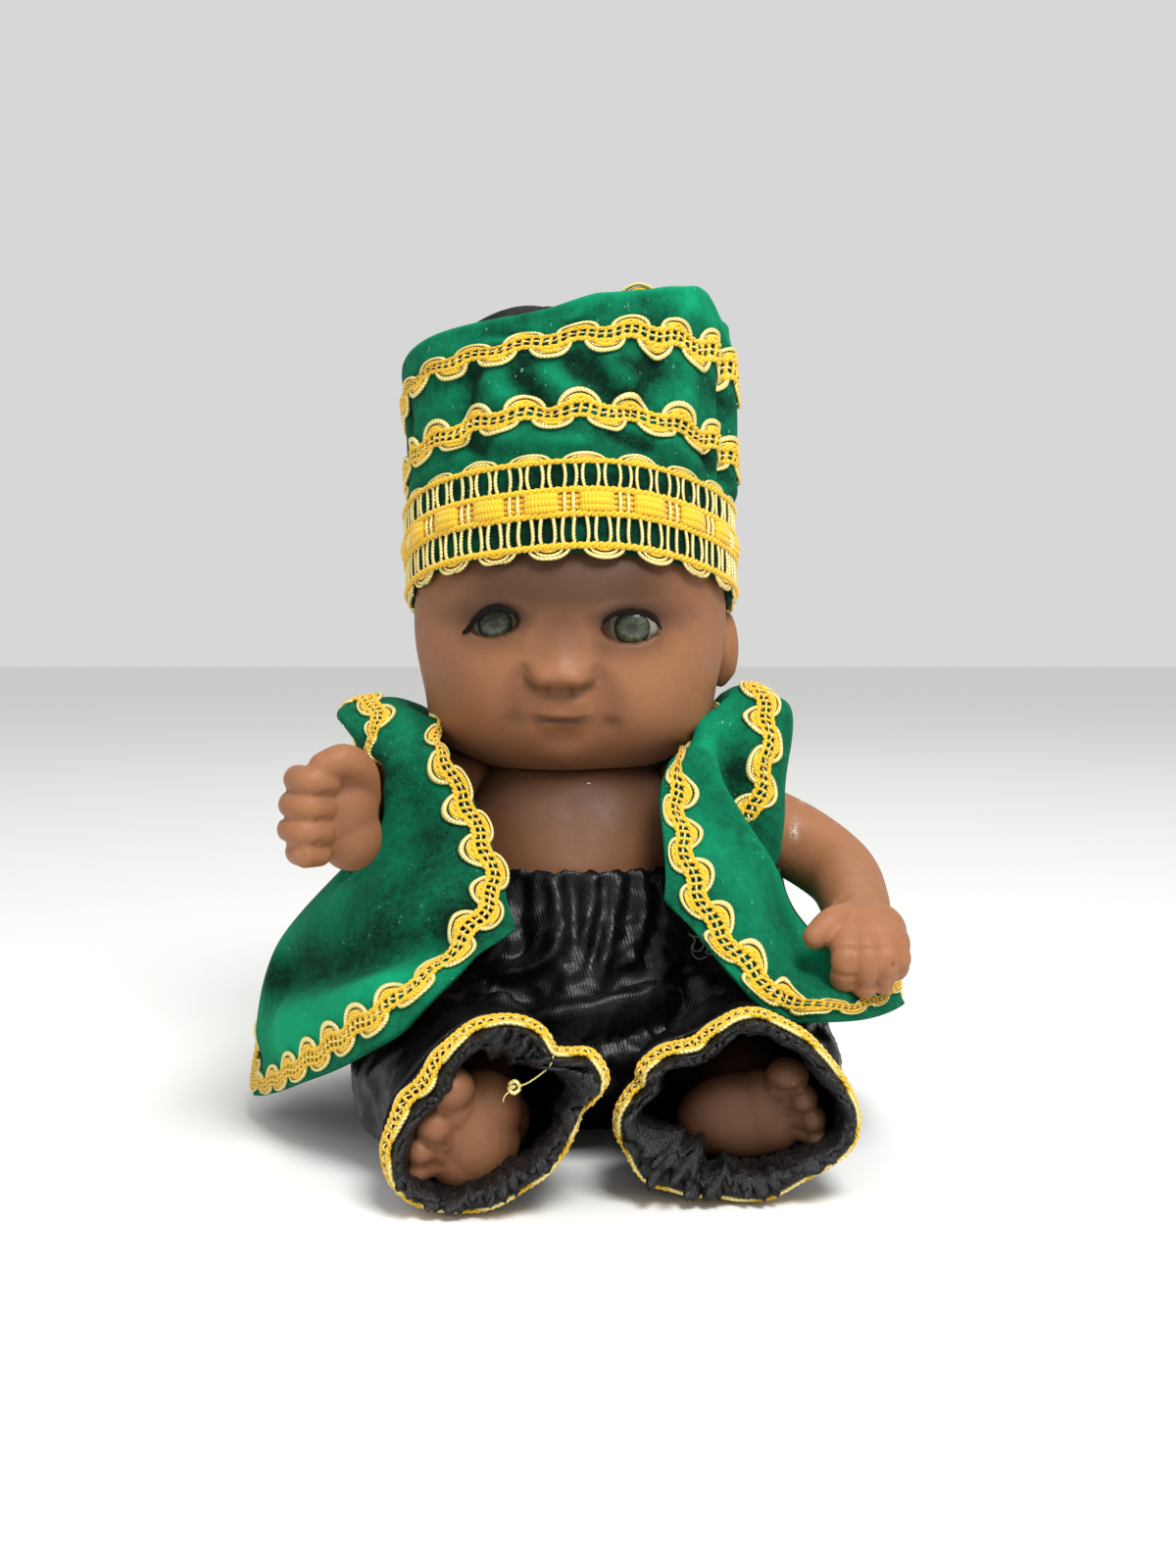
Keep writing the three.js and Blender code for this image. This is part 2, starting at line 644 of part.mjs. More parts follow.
function place(name, solid, finish) {
  const mesh = new THREE.Mesh(toGeometry(withoutPockets(solid)), new THREE.MeshStandardMaterial(finish));
  mesh.name = name;
  doll.add(mesh);
}

const torsoRoom = makeTorso(gap);
place('head', makeHead(), vinyl);
place('left_eye', makeEye(-1), glass);
place('right_eye', makeEye(1), glass);
const headRoom = ellipsoid(head.centre, head.radius.map((r) => r + 3 * gap), 20, 14);
place('torso', makeTorso(0).subtract(headRoom), vinyl);
place('left_arm', makeLeftArm().subtract(torsoRoom), vinyl);
place('right_arm', makeRightArm().subtract(torsoRoom), vinyl);
place('left_leg', makeLeg(leftLeg).subtract(torsoRoom), vinyl);
place('right_leg', makeLeg(rightLeg).subtract(torsoRoom), vinyl);

place('cap', makeCap(), velvet);
place('cap_crown', makeCapCrown(), satin);
const halfRow = gimpWidth / 2 / (cap.topHeight - cap.browHeight);
place('cap_top_braid', makeCapTrim(capRows.top - halfRow, capRows.top + halfRow), gimp);
place('cap_middle_braid', makeCapTrim(capRows.middle - halfRow, capRows.middle + halfRow), gimp);
place('cap_brow_band', makeCapTrim(browBand.from, browBand.to), gimp);

const armPlugs = joined([armholePlug(armholes.left), armholePlug(armholes.right), ...armRooms]);
const armRoom = joined(armRooms);
const trimRoom = vestSheet(gap).add(armRoom);
place('vest', vestSheet(0).subtract(armPlugs), velvet);
place('vest_edge_braid', vestTrim(vestEdgeRoute()).subtract(trimRoom), gimp);
place('left_armhole_braid', vestTrim(armholeRoute(armholes.left)).subtract(trimRoom), gimp);
place('right_armhole_braid', vestTrim(armholeRoute(armholes.right)).subtract(trimRoom), gimp);

place('trousers', makeTrousers(), satin);
place('left_cuff_braid', makeCuffTrim(cuffs.left), gimp);
place('right_cuff_braid', makeCuffTrim(cuffs.right), gimp);

export default doll;
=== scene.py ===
"""A small vinyl baby doll dressed as an orisha, sitting, with its cloth and gold braid."""

import functools
import math

import bpy
import numpy as np
from bpy.props import FloatProperty, FloatVectorProperty, IntProperty, PointerProperty
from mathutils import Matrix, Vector


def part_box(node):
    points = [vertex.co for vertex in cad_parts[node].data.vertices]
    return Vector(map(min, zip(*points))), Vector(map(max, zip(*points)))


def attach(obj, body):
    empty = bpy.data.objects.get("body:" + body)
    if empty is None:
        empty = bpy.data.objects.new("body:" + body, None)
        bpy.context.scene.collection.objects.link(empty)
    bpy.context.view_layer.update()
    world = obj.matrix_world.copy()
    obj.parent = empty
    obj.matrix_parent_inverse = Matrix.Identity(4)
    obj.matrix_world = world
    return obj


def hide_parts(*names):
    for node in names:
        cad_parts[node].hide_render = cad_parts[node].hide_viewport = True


bl_info = {
    "name": "Dressed Orisha Doll",
    "version": (1, 0, 0),
    "blender": (4, 5, 0),
    "location": "3D View > Sidebar > Orisha Doll",
    "description": "Models a small vinyl doll in a braided velvet cap and vest and satin trousers",
    "category": "Add Mesh",
}

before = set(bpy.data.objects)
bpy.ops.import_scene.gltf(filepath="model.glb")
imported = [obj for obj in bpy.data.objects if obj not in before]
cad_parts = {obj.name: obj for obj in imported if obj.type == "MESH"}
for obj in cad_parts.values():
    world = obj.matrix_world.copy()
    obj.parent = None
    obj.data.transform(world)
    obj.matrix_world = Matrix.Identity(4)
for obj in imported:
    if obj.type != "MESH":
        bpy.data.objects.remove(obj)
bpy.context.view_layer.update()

MM = 0.001
UP = np.array([0.0, 0.0, 1.0])


# Colours as a user picks them, and as the shader takes them

def srgb(red, green, blue):
    def linear(value):
        value /= 255
        return value / 12.92 if value <= 0.04045 else ((value + 0.055) / 1.055) ** 2.4
    return tuple(linear(value) for value in (red, green, blue))


def colour(name, text, shade):
    return FloatVectorProperty(name=name, description=text, default=srgb(*shade), size=3,
                               min=0, max=1, subtype="COLOR")


def length(name, text, millimetres):
    return FloatProperty(name=name, description=text, default=millimetres * MM, min=0,
                         subtype="DISTANCE", unit="LENGTH", precision=5)


class DollVinyl(bpy.types.PropertyGroup):
    """The doll's own body"""
    skin: colour("Vinyl", "Colour of the moulded vinyl", (152, 102, 69))
    # This dark colour is spray paint round the eyes, and also the painted shade in the face's hollows, under
    # the cap, on the chest, the palm and the feet
    shade: colour("Airbrush", "Colour sprayed round the eyes and in the hollows", (20, 12, 9))
    iris: colour("Iris", "Colour of the glassy iris", (66, 74, 56))
    lash: colour("Lashes", "Colour of the lash strips", (6, 5, 4))
    detail: length("Detail", "Size of the smallest moulded form", 0.55)


class DollCloth(bpy.types.PropertyGroup):
    """The velvet and the satin"""
    # These two colours are also the light and dark ends of the painted light and shade on the cap and the vest
    velvet: colour("Velvet", "Colour of the velvet's pile", (10, 150, 104))
    velvet_dark: colour("Crushed velvet", "Colour where the pile lies down", (0, 34, 21))
    velvet_wall: length("Velvet thickness", "Thickness of the velvet", 1.3)
    satin: colour("Satin", "Colour of the trousers and the crown", (10, 10, 11))
    satin_wall: length("Satin thickness", "Thickness of the satin", 1.0)
    rib: length("Rib", "Distance between the satin's fine ribs", 0.7)
    seed: IntProperty(name="Seed", description="Changes the cloth's small irregularities", min=0)


class DollGimp(bpy.types.PropertyGroup):
    """The woven gold trims"""
    floss: colour("Floss", "Colour of the yellow floss", (250, 197, 26))
    cord: colour("Metallic cord", "Colour of the pale gold cord", (255, 232, 150))
    repeat: length("Repeat", "Length of one pair of scrolls", 11.6)
    width: length("Gimp width", "Width of the scroll gimp", 9.6)


class DollStage(bpy.types.PropertyGroup):
    """The floor and the lights"""
    key: FloatProperty(name="Key light", description="Power of the main light in watts", default=9.0)
    fill: FloatProperty(name="Fill light", description="Power of the fill light in watts", default=1.2)
    sky: FloatProperty(name="Sky", description="Strength of the light from all round", default=0.68)
    floor: colour("Floor", "Colour of the floor", (236, 236, 234))


def settings():
    return bpy.context.scene.orisha_doll


# Working with meshes: places are in millimetres

def only(obj):
    bpy.ops.object.select_all(action="DESELECT")
    obj.select_set(True)
    bpy.context.view_layer.objects.active = obj


def vectors(parts, name):
    """The vectors that the parts of a mesh have under a name."""
    flat = np.empty(len(parts) * 3, np.float32)
    parts.foreach_get(name, flat)
    return flat.reshape(-1, 3).astype(float)


def places(obj):
    return vectors(obj.data.vertices, "co") / MM


def normals(obj):
    return vectors(obj.data.vertex_normals, "vector")


def faces(obj):
    """The middle and the facing of each face."""
    return vectors(obj.data.polygons, "center") / MM, vectors(obj.data.polygons, "normal")


def corners(obj):
    """Which vertex stands at each corner of each face."""
    picks = np.empty(len(obj.data.loops), np.int32)
    obj.data.loops.foreach_get("vertex_index", picks)
    return picks


def move(obj, points):
    flat = (np.asarray(points, float) * MM).astype(np.float32).ravel()
    obj.data.vertices.foreach_set("co", flat)
    obj.data.update()


def unit(arrows):
    return arrows / np.maximum(np.linalg.norm(arrows, axis=-1, keepdims=True), 1e-9)


def smooth(value, start, end):
    """A soft step from 0 up to 1."""
    t = np.clip((value - start) / (end - start), 0, 1)
    return t * t * (3 - 2 * t)


def falling(value, start, end):
    """A soft step from 1 down to 0."""
    return smooth(-value, -end, -start)


def hump(value, middle, reach):
    """1 in the middle, and softly less away from it."""
    return np.exp(-((value - middle) / reach) ** 2)


def spline_weights(t, count):
    """Which four of some evenly spaced values a smooth run uses at each place, and how much of each."""
    place = np.clip(t, 0, 1) * (count - 1)
    i = np.minimum(np.floor(place).astype(int), count - 2)
    s = place - i
    weights = np.stack([
        -0.5 * s + s ** 2 - 0.5 * s ** 3,
        1 - 2.5 * s ** 2 + 1.5 * s ** 3,
        0.5 * s + 2 * s ** 2 - 1.5 * s ** 3,
        -0.5 * s ** 2 + 0.5 * s ** 3,
    ], -1)
    picks = np.clip(i[..., None] + np.arange(-1, 3), 0, count - 1)
    return picks, weights


def along(values, t):
    """A smooth run through evenly spaced values."""
    values = np.asarray(values, float)
    picks, weights = spline_weights(np.asarray(t, float), len(values))
    if values.ndim == 1:
        return (weights * values[picks]).sum(-1)
    return (weights[..., None] * values[picks]).sum(-2)


def loop_along(values, t):
    """A smooth closed run through evenly spaced values."""
    values = np.asarray(values, float)
    wrapped = np.concatenate([values[-3:], values, values[:4]])
    place = (np.asarray(t, float) % 1) * len(values) + 3
    return along(wrapped, place / (len(wrapped) - 1))


def even_loop(values, count, fine, laid=None):
    """Some places, evenly spaced by length on a closed run or on where it is laid, and its length."""
    ring = loop_along(values, np.linspace(0, 1, fine, endpoint=False))
    line = laid(ring[:, 0], ring[:, 1]) if laid else ring
    steps = np.linalg.norm(np.roll(line, -1, 0) - line, axis=1)
    reach = np.concatenate([[0], np.cumsum(steps)])
    at = np.linspace(0, reach[-1], count, endpoint=False)
    ring = np.concatenate([ring, ring[:1]])
    return np.stack([np.interp(at, reach, ring[:, k]) for k in range(ring.shape[1])], -1), reach[-1]


def headings(route, t, step=1e-3):
    """Which way a smooth route runs at each place."""
    return unit(along(route, np.clip(t + step, 0, 1)) - along(route, np.clip(t - step, 0, 1)))


def near_route(points, route, steps=28):
    """How far each point is from a smooth route, and how far along it that is."""
    line = along(route, np.linspace(0, 1, steps))
    start, leg = line[:-1], line[1:] - line[:-1]
    away = points[:, None] - start[None]
    t = np.clip((away * leg).sum(-1) / (leg * leg).sum(-1), 0, 1)
    far = np.linalg.norm(away - t[..., None] * leg, axis=-1)
    best = far.argmin(1)
    rows = np.arange(len(points))
    return far[rows, best], (best + t[rows, best]) / len(leg)


def fold(points, facing, route, width, height, fade=0.2):
    """Raises a soft ridge along a route, or sinks a groove where the height is negative."""
    route = np.asarray(route, float)
    inside = ((points > route.min(0) - 3 * width) & (points < route.max(0) + 3 * width)).all(1)
    if inside.any():
        far, place = near_route(points[inside], route)
        ends = smooth(place, 0, fade) * smooth(1 - place, 0, fade) if fade else 1
        points[inside] += facing[inside] * (height * ends * hump(far, 0, width))[:, None]
    return points


def distance(points, centre):
    return np.linalg.norm(points - np.asarray(centre, float), axis=1)


def dab(points, facing, centre, reach, height):
    """Raises or sinks a soft round spot."""
    points += facing * (height * hump(distance(points, centre), 0, reach))[:, None]
    return points


def rumple(points, size, seed, waves=14):
    """Soft irregular heights from about -1 to 1, with hills of a size in millimetres."""
    chance = np.random.default_rng(seed + settings().cloth.seed)
    headings = unit(chance.normal(size=(waves, 3))) * chance.uniform(0.7, 1.5, (waves, 1))
    phases = chance.uniform(0, 2 * math.pi, waves)
    return np.sin(points @ headings.T * (2 * math.pi / size) + phases).sum(1) / math.sqrt(waves)


def creased(points, size, seed):
    """Sharp irregular creases between soft hills, from about -1 to 1."""
    return 1 - 2.2 * np.abs(rumple(points, size, seed))


def grid(name, columns, rows):
    """A flat grid to be laid on a surface, with the place of each vertex on it from 0 to 1."""
    bpy.ops.object.select_all(action="DESELECT")
    bpy.ops.mesh.primitive_grid_add(x_subdivisions=columns, y_subdivisions=rows, size=1)
    obj = bpy.context.object
    obj.name = obj.data.name = name
    at = places(obj) * MM + 0.5
    return obj, np.clip(at[:, 0], 0, 1), np.clip(at[:, 1], 0, 1)


def ball(name, columns, rows):
    """A ball to be shaped: it, and each vertex's turn, fall from the top and place."""
    bpy.ops.object.select_all(action="DESELECT")
    bpy.ops.mesh.primitive_uv_sphere_add(segments=columns, ring_count=rows, radius=1)
    obj = bpy.context.object
    obj.name = obj.data.name = name
    at = places(obj) * MM
    fall = np.arccos(np.clip(at[:, 2], -1, 1)) / math.pi
    return obj, np.arctan2(at[:, 1], at[:, 0]), fall, at


def edit(obj, step, **options):
    """Runs an edit-mode step on the whole mesh."""
    only(obj)
    bpy.ops.object.mode_set(mode="EDIT")
    bpy.ops.mesh.select_all(action="SELECT")
    step(**options)
    bpy.ops.object.mode_set(mode="OBJECT")


def close_seams(obj, within=0.004):
    edit(obj, bpy.ops.mesh.remove_doubles, threshold=within * MM)


def outwards(obj):
    edit(obj, bpy.ops.mesh.normals_make_consistent, inside=False)


def modify(obj, kind, **options):
    only(obj)
    modifier = obj.modifiers.new(kind.title(), kind)
    for name, value in options.items():
        setattr(modifier, name, value)
    bpy.ops.object.modifier_apply(modifier=modifier.name)


def join(name, pieces):
    bpy.ops.object.select_all(action="DESELECT")
    for piece in pieces:
        piece.select_set(True)
    bpy.context.view_layer.objects.active = pieces[0]
    if len(pieces) > 1:
        bpy.ops.object.join()
    obj = bpy.context.object
    obj.name = obj.data.name = name
    return obj


def remesh(obj, voxel, rounds):
    """Makes one even skin over all forms of a mesh, and smooths it."""
    only(obj)
    obj.data.remesh_voxel_size = voxel * MM
    obj.data.use_remesh_fix_poles = True
    bpy.ops.object.voxel_remesh()
    modify(obj, "SMOOTH", factor=0.5, iterations=rounds)


def remove_faces(obj, unwanted):
    """Deletes the faces that are marked as unwanted."""
    edit(obj, bpy.ops.mesh.select_all, action="DESELECT")
    obj.data.polygons.foreach_set("select", unwanted)
    bpy.ops.object.mode_set(mode="EDIT")
    bpy.ops.mesh.select_mode(type="FACE")
    bpy.ops.mesh.delete(type="FACE")
    bpy.ops.object.mode_set(mode="OBJECT")


def dress(obj, *materials):
    """Gives a mesh its finishes, in the order in which its faces pick them."""
    for material in materials:
        obj.data.materials.append(material)


def finish(obj, slot, *nodes):
    """Shades a finished piece, ties it to the frame and lets it stand for its solids."""
    only(obj)
    bpy.ops.object.shade_smooth()
    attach(obj, "root")
    if nodes:
        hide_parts(*nodes)
    return obj


def paint(obj, name, values):
    """Keeps one value for each place of a mesh, for its material to read."""
    layer = obj.data.attributes.new(name, "FLOAT", "POINT")
    layer.data.foreach_set("value", np.asarray(values, np.float32))


# Finishes

class Finish:
    """A material, with short ways to add nodes to it."""

    def __init__(self, name, colour, roughness, **sockets):
        self.material = bpy.data.materials.new(name)
        self.material.use_nodes = True
        self.tree = self.material.node_tree
        self.surface = self.tree.nodes["Principled BSDF"]
        self.material.diffuse_color = (*colour, 1)
        self.feed("Base Color", (*colour, 1))
        self.feed("Roughness", roughness)
        for socket, value in sockets.items():
            self.feed(socket.replace("_", " "), value)

    def plug(self, socket, value):
        if isinstance(value, bpy.types.NodeSocket):
            self.tree.links.new(value, socket)
        else:
            socket.default_value = value

    def feed(self, socket, value):
        self.plug(self.surface.inputs[socket], value)

    def node(self, kind, inputs, output=0, **options):
        node = self.tree.nodes.new("ShaderNode" + kind)
        for name, value in options.items():
            setattr(node, name, value)
        for name, value in inputs.items():
            self.plug(node.inputs[name], value)
        return node.outputs[output]

    def here(self):
        return self.node("TexCoord", {}, "Object")

    def own(self, name):
        return self.node("Attribute", {}, "Fac", attribute_name=name)

    def noise(self, size, detail=3.0, roughness=0.5, stretch=(1, 1, 1)):
        """Cloudy values from 0 to 1, with clouds of a size in millimetres."""
        at = self.node("Mapping", {"Vector": self.here(), "Scale": stretch})
        return self.node("TexNoise", {"Vector": at, "Scale": 1 / (size * MM), "Detail": detail,
                                      "Roughness": roughness})

    def sum(self, operation, first, second=0.5, third=0.5, clamp=False):
        return self.node("Math", {0: first, 1: second, 2: third}, operation=operation, use_clamp=clamp)

    def ramp(self, value, *stops):
        socket = self.node("ValToRGB", {"Fac": value})
        steps = socket.node.color_ramp.elements
        while len(steps) < len(stops):
            steps.new(0.5)
        for step, (place, shade) in zip(steps, stops):
            step.position = place
            step.color = (*shade, 1) if hasattr(shade, "__len__") else (shade, shade, shade, 1)
        return socket

    def mix(self, factor, first, second):
        def shade(value):
            return value if isinstance(value, bpy.types.NodeSocket) else (*value, 1)
        return self.node("MixRGB", {"Fac": factor, "Color1": shade(first), "Color2": shade(second)})

    def bump(self, height, depth, strength=1.0, over=None):
        """A relief of a depth in millimetres."""
        inputs = {"Height": height, "Distance": depth * MM, "Strength": strength}
        if over:
            inputs["Normal"] = over
        return self.node("Bump", inputs)


def times(shade, factor):
    return tuple(min(1.0, value * factor) for value in shade)


def vinyl_finish():
    """Satin vinyl with spray paint, painted shade and painted highlights, fine orange peel and pale dust."""
    vinyl = settings().vinyl
    skin = Finish("brown_vinyl", tuple(vinyl.skin), 0.5, Specular_IOR_Level=0.26)
    blotch = skin.noise(9, 4, 0.6)
    tone = skin.mix(blotch, times(vinyl.skin, 0.86), times(vinyl.skin, 1.1))
    grime = skin.ramp(skin.noise(2.2, 5, 0.7), (0.5, 0.0), (0.75, 0.35))
    tone = skin.mix(grime, tone, times(vinyl.skin, 0.72))
    # Mixes in the dark colour: spray paint round the eyes, and painted shade and highlights elsewhere
    darkened = skin.mix(skin.own("airbrush"), tone, tuple(vinyl.shade))
    speck = skin.ramp(skin.noise(1.1, 2, 0.4), (0.76, 0.0), (0.8, 1.0))
    patch = skin.ramp(skin.noise(7, 2, 0.5), (0.5, 0.0), (0.62, 0.8))
    dust = skin.sum("MULTIPLY", speck, patch)
    crumbs = skin.ramp(skin.noise(0.9, 3, 0.7), (0.4, 0.0), (0.6, 1.0))
    residue = skin.sum("MULTIPLY", skin.own("residue"), crumbs)
    pale = skin.sum("MAXIMUM", dust, residue)
    skin.feed("Base Color", skin.mix(pale, darkened, srgb(214, 196, 180)))
    skin.feed("Roughness", skin.ramp(skin.noise(3, 3, 0.6), (0.3, 0.46), (0.75, 0.62)))
    peel = skin.bump(skin.noise(0.5, 2, 0.5), 0.05, 0.35)
    skin.feed("Normal", skin.bump(skin.noise(5, 3, 0.5), 0.4, 0.25, peel))
    return skin.material


def eye_finish():
    """A glassy eye: a grey-green iris with pale streaks, a dark rim and a dull white."""
    vinyl = settings().vinyl
    eye = Finish("glassy_eye", tuple(vinyl.iris), 0.3, Coat_Weight=0.35, Coat_Roughness=0.06,
                 Specular_IOR_Level=0.3)
    at = eye.node("UVMap", {}, uv_map="iris")
    parts = eye.node("SeparateXYZ", {"Vector": at}).node
    across, upward = parts.outputs[0], parts.outputs[1]
    far = eye.node("VectorMath", {0: at}, "Value", operation="LENGTH")
    turn = eye.sum("ARCTAN2", upward, across)
    rays = eye.node("TexNoise", {"W": eye.sum("MULTIPLY", turn, 2.6), "Scale": 3.2, "Detail": 4.0},
                    noise_dimensions="1D")
    flecks = eye.node("TexNoise", {"Vector": at, "Scale": 2.4, "Detail": 4.0, "Roughness": 0.7})
    streak = eye.sum("MULTIPLY", rays, flecks)
    iris = eye.ramp(streak, (0.12, times(vinyl.iris, 0.45)), (0.27, tuple(vinyl.iris)),
                    (0.42, srgb(112, 122, 100)))
    pupil = eye.ramp(far, (0.1, 1.0), (0.17, 0.0))
    iris = eye.mix(pupil, iris, srgb(44, 50, 40))
    rim = eye.ramp(far, (0.33, 0.0), (0.43, 1.0))
    iris = eye.mix(rim, iris, srgb(26, 32, 23))
    white = eye.ramp(far, (0.43, 0.0), (0.465, 1.0))
    eye.feed("Base Color", eye.mix(white, iris, srgb(134, 127, 114)))
    return eye.material


def lash_finish():
    vinyl = settings().vinyl
    lash = Finish("black_lash", tuple(vinyl.lash), 0.85, Specular_IOR_Level=0.1)
    hair = lash.noise(0.25, 2, 0.5, stretch=(1, 1, 0.15))
    lash.feed("Base Color", lash.mix(hair, tuple(vinyl.lash), srgb(26, 18, 13)))
    lash.feed("Normal", lash.bump(hair, 0.2, 0.8))
    return lash.material


def velvet_finish():
    """Short cotton velvet: a soft pile that lies this way and that, with lint on it, and the painted light and
    shade kept on each piece.
    """
    cloth = settings().cloth
    light, dark = tuple(cloth.velvet), tuple(cloth.velvet_dark)
    velvet = Finish("green_velvet", light, 0.9, Sheen_Weight=0.16, Sheen_Roughness=0.4,
                    Specular_IOR_Level=0.12)
    velvet.feed("Sheen Tint", (*srgb(20, 190, 128), 1))
    nap = velvet.ramp(velvet.noise(14, 4, 0.55), (0.34, 0.0), (0.68, 1.0))
    pile = velvet.noise(0.45, 3, 0.7)
    # Adds the painted light and shade kept on the cloth to the pile's random changes
    brushed_and_painted_light = velvet.sum("MULTIPLY_ADD", nap, 0.16, velvet.sum("ADD", velvet.own("nap"), -0.08))
    clouds = velvet.noise(2.4, 4, 0.65)
    mottled_and_painted_light = velvet.sum("MULTIPLY_ADD", clouds, 0.5, velvet.sum("SUBTRACT", brushed_and_painted_light, 0.25))
    # The mix between dark and light velvet: the pile's random wear and changes, and the painted light and shade
    worn = velvet.sum("MULTIPLY_ADD", pile, 0.5, velvet.sum("SUBTRACT", mottled_and_painted_light, 0.25), clamp=True)
    shade = velvet.mix(worn, dark, light)
    lint = velvet.ramp(velvet.noise(0.8, 2, 0.4, stretch=(1, 1, 0.5)), (0.71, 0.0), (0.79, 0.55))
    velvet.feed("Base Color", velvet.mix(lint, shade, srgb(120, 196, 160)))
    tufts = velvet.bump(pile, 0.22, 0.7)
    velvet.feed("Normal", velvet.bump(velvet.noise(4, 3, 0.5), 0.35, 0.4, tufts))
    return velvet.material


def lining_finish():
    """The velvet's woven back, dark green and matt."""
    cloth = settings().cloth
    back = Finish("velvet_back", times(cloth.velvet_dark, 0.6), 0.9, Sheen_Weight=0.15)
    threads = back.noise(0.5, 2, 0.5)
    back.feed("Base Color", back.mix(threads, times(cloth.velvet_dark, 0.35), times(cloth.velvet_dark, 0.9)))
    back.feed("Normal", back.bump(threads, 0.2, 0.8))
    return back.material


def satin_finish(name, worn=0.0, matt=0.0):
    """Black satin with fine ribs: crinkled and dusty where it is worn, dull where it is matt."""
    cloth = settings().cloth
    black = times(cloth.satin, 1 - 0.5 * matt + 0.7 * worn)
    satin = Finish(name, black, 0.42, Specular_IOR_Level=0.28 + 0.16 * worn - 0.18 * matt)
    parts = satin.node("SeparateXYZ", {"Vector": satin.here()}).node
    across = satin.sum("MULTIPLY_ADD", parts.outputs[2], 0.3, parts.outputs[0])
    rib = satin.sum("SINE", satin.sum("MULTIPLY", across, 2 * math.pi / cloth.rib))
    cross = satin.sum("SINE", satin.sum("MULTIPLY", parts.outputs[2], 2 * math.pi / cloth.rib))
    weave = satin.sum("MULTIPLY_ADD", cross, 0.15, rib)
    cloudy = satin.noise(6, 4, 0.6)
    shade = satin.mix(satin.ramp(cloudy, (0.35, 0.0), (0.7, 1.0)), times(black, 0.55), times(black, 1.5))
    crinkle = satin.noise(1.5 - 0.5 * worn, 5, 0.7)
    dusty = satin.ramp(crinkle, (0.55, 0.0), (0.7, 0.06 + 0.3 * worn))
    satin.feed("Base Color", satin.mix(dusty, shade, srgb(96, 96, 94)))
    low = 0.27 - 0.03 * worn + 0.3 * matt
    satin.feed("Roughness", satin.ramp(cloudy, (0.3, low), (0.7, low + 0.18)))
    fine = satin.bump(weave, 0.05, 0.4)
    satin.feed("Normal", satin.bump(crinkle, 0.5, 0.3 + 0.6 * worn, fine))
    return satin.material


def thread_finish(name, shade, pitch, roughness, **sockets):
    """A twisted thread: slanting plies that follow its own map, in millimetres along it, drawn darker in the
    grooves between them as painted shade.
    """
    thread = Finish(name, shade, roughness, **sockets)
    parts = thread.node("SeparateXYZ", {"Vector": thread.node("UVMap", {}, uv_map="UVMap")}).node
    run = thread.sum("MULTIPLY_ADD", parts.outputs[0], 1 / pitch, parts.outputs[1])
    ply = thread.sum("SINE", thread.sum("MULTIPLY", run, 2 * math.pi))
    ply = thread.sum("MULTIPLY_ADD", ply, 0.5, 0.5)
    patch = thread.noise(2.4, 3, 0.6)
    # Painted shade: the plies are darker in the grooves between them, where the bump sinks
    tone = thread.mix(thread.sum("MULTIPLY", ply, 0.9), times(shade, 0.6), times(shade, 1.15))
    thread.feed("Base Color", thread.mix(patch, times(shade, 0.95), tone))
    thread.feed("Normal", thread.bump(ply, 0.16, 0.8))
    return thread.material


CORD, FLOSS = 0, 1


def gimp_finishes():
    """The finishes of the trims, in the order of CORD and FLOSS, made once."""
    if "gold_cord" not in bpy.data.materials:
        gimp = settings().gimp
        thread_finish("gold_cord", tuple(gimp.cord), 0.75, 0.3, Metallic=0.4)
        thread_finish("yellow_floss", tuple(gimp.floss), 0.62, 0.62, Sheen_Weight=0.25,
                      Specular_IOR_Level=0.4)
    return [bpy.data.materials["gold_cord"], bpy.data.materials["yellow_floss"]]


# The doll's head

HEAD = {"centre": np.array([-0.7, 1.5, 119.0]), "radii": np.array([35.8, 34.6, 39.0])}
EYE_OPENINGS = {
    "left": {"ends": (-22.8, -11.4), "height": (117.4, 118.9), "up": 3.5, "down": 2.9},
    "right": {"ends": (6.2, 19.4), "height": (117.3, 117.9), "up": 3.7, "down": 3.7},
}
IRISES = {"left": (-17.4, 118.3), "right": (13.3, 117.3)}
LIP_LINE = [(-10.4, -28.6, 97.8), (-6.6, -29.2, 97.0), (-2.6, -29.7, 96.8), (1.4, -29.4, 96.7),
            (5.6, -28.7, 97.2)]
FACE_FRONT = -8.0
EYE_LEVEL, EYE_DEPTH, EYE_RADIUS = 118, 4.6, 9.0

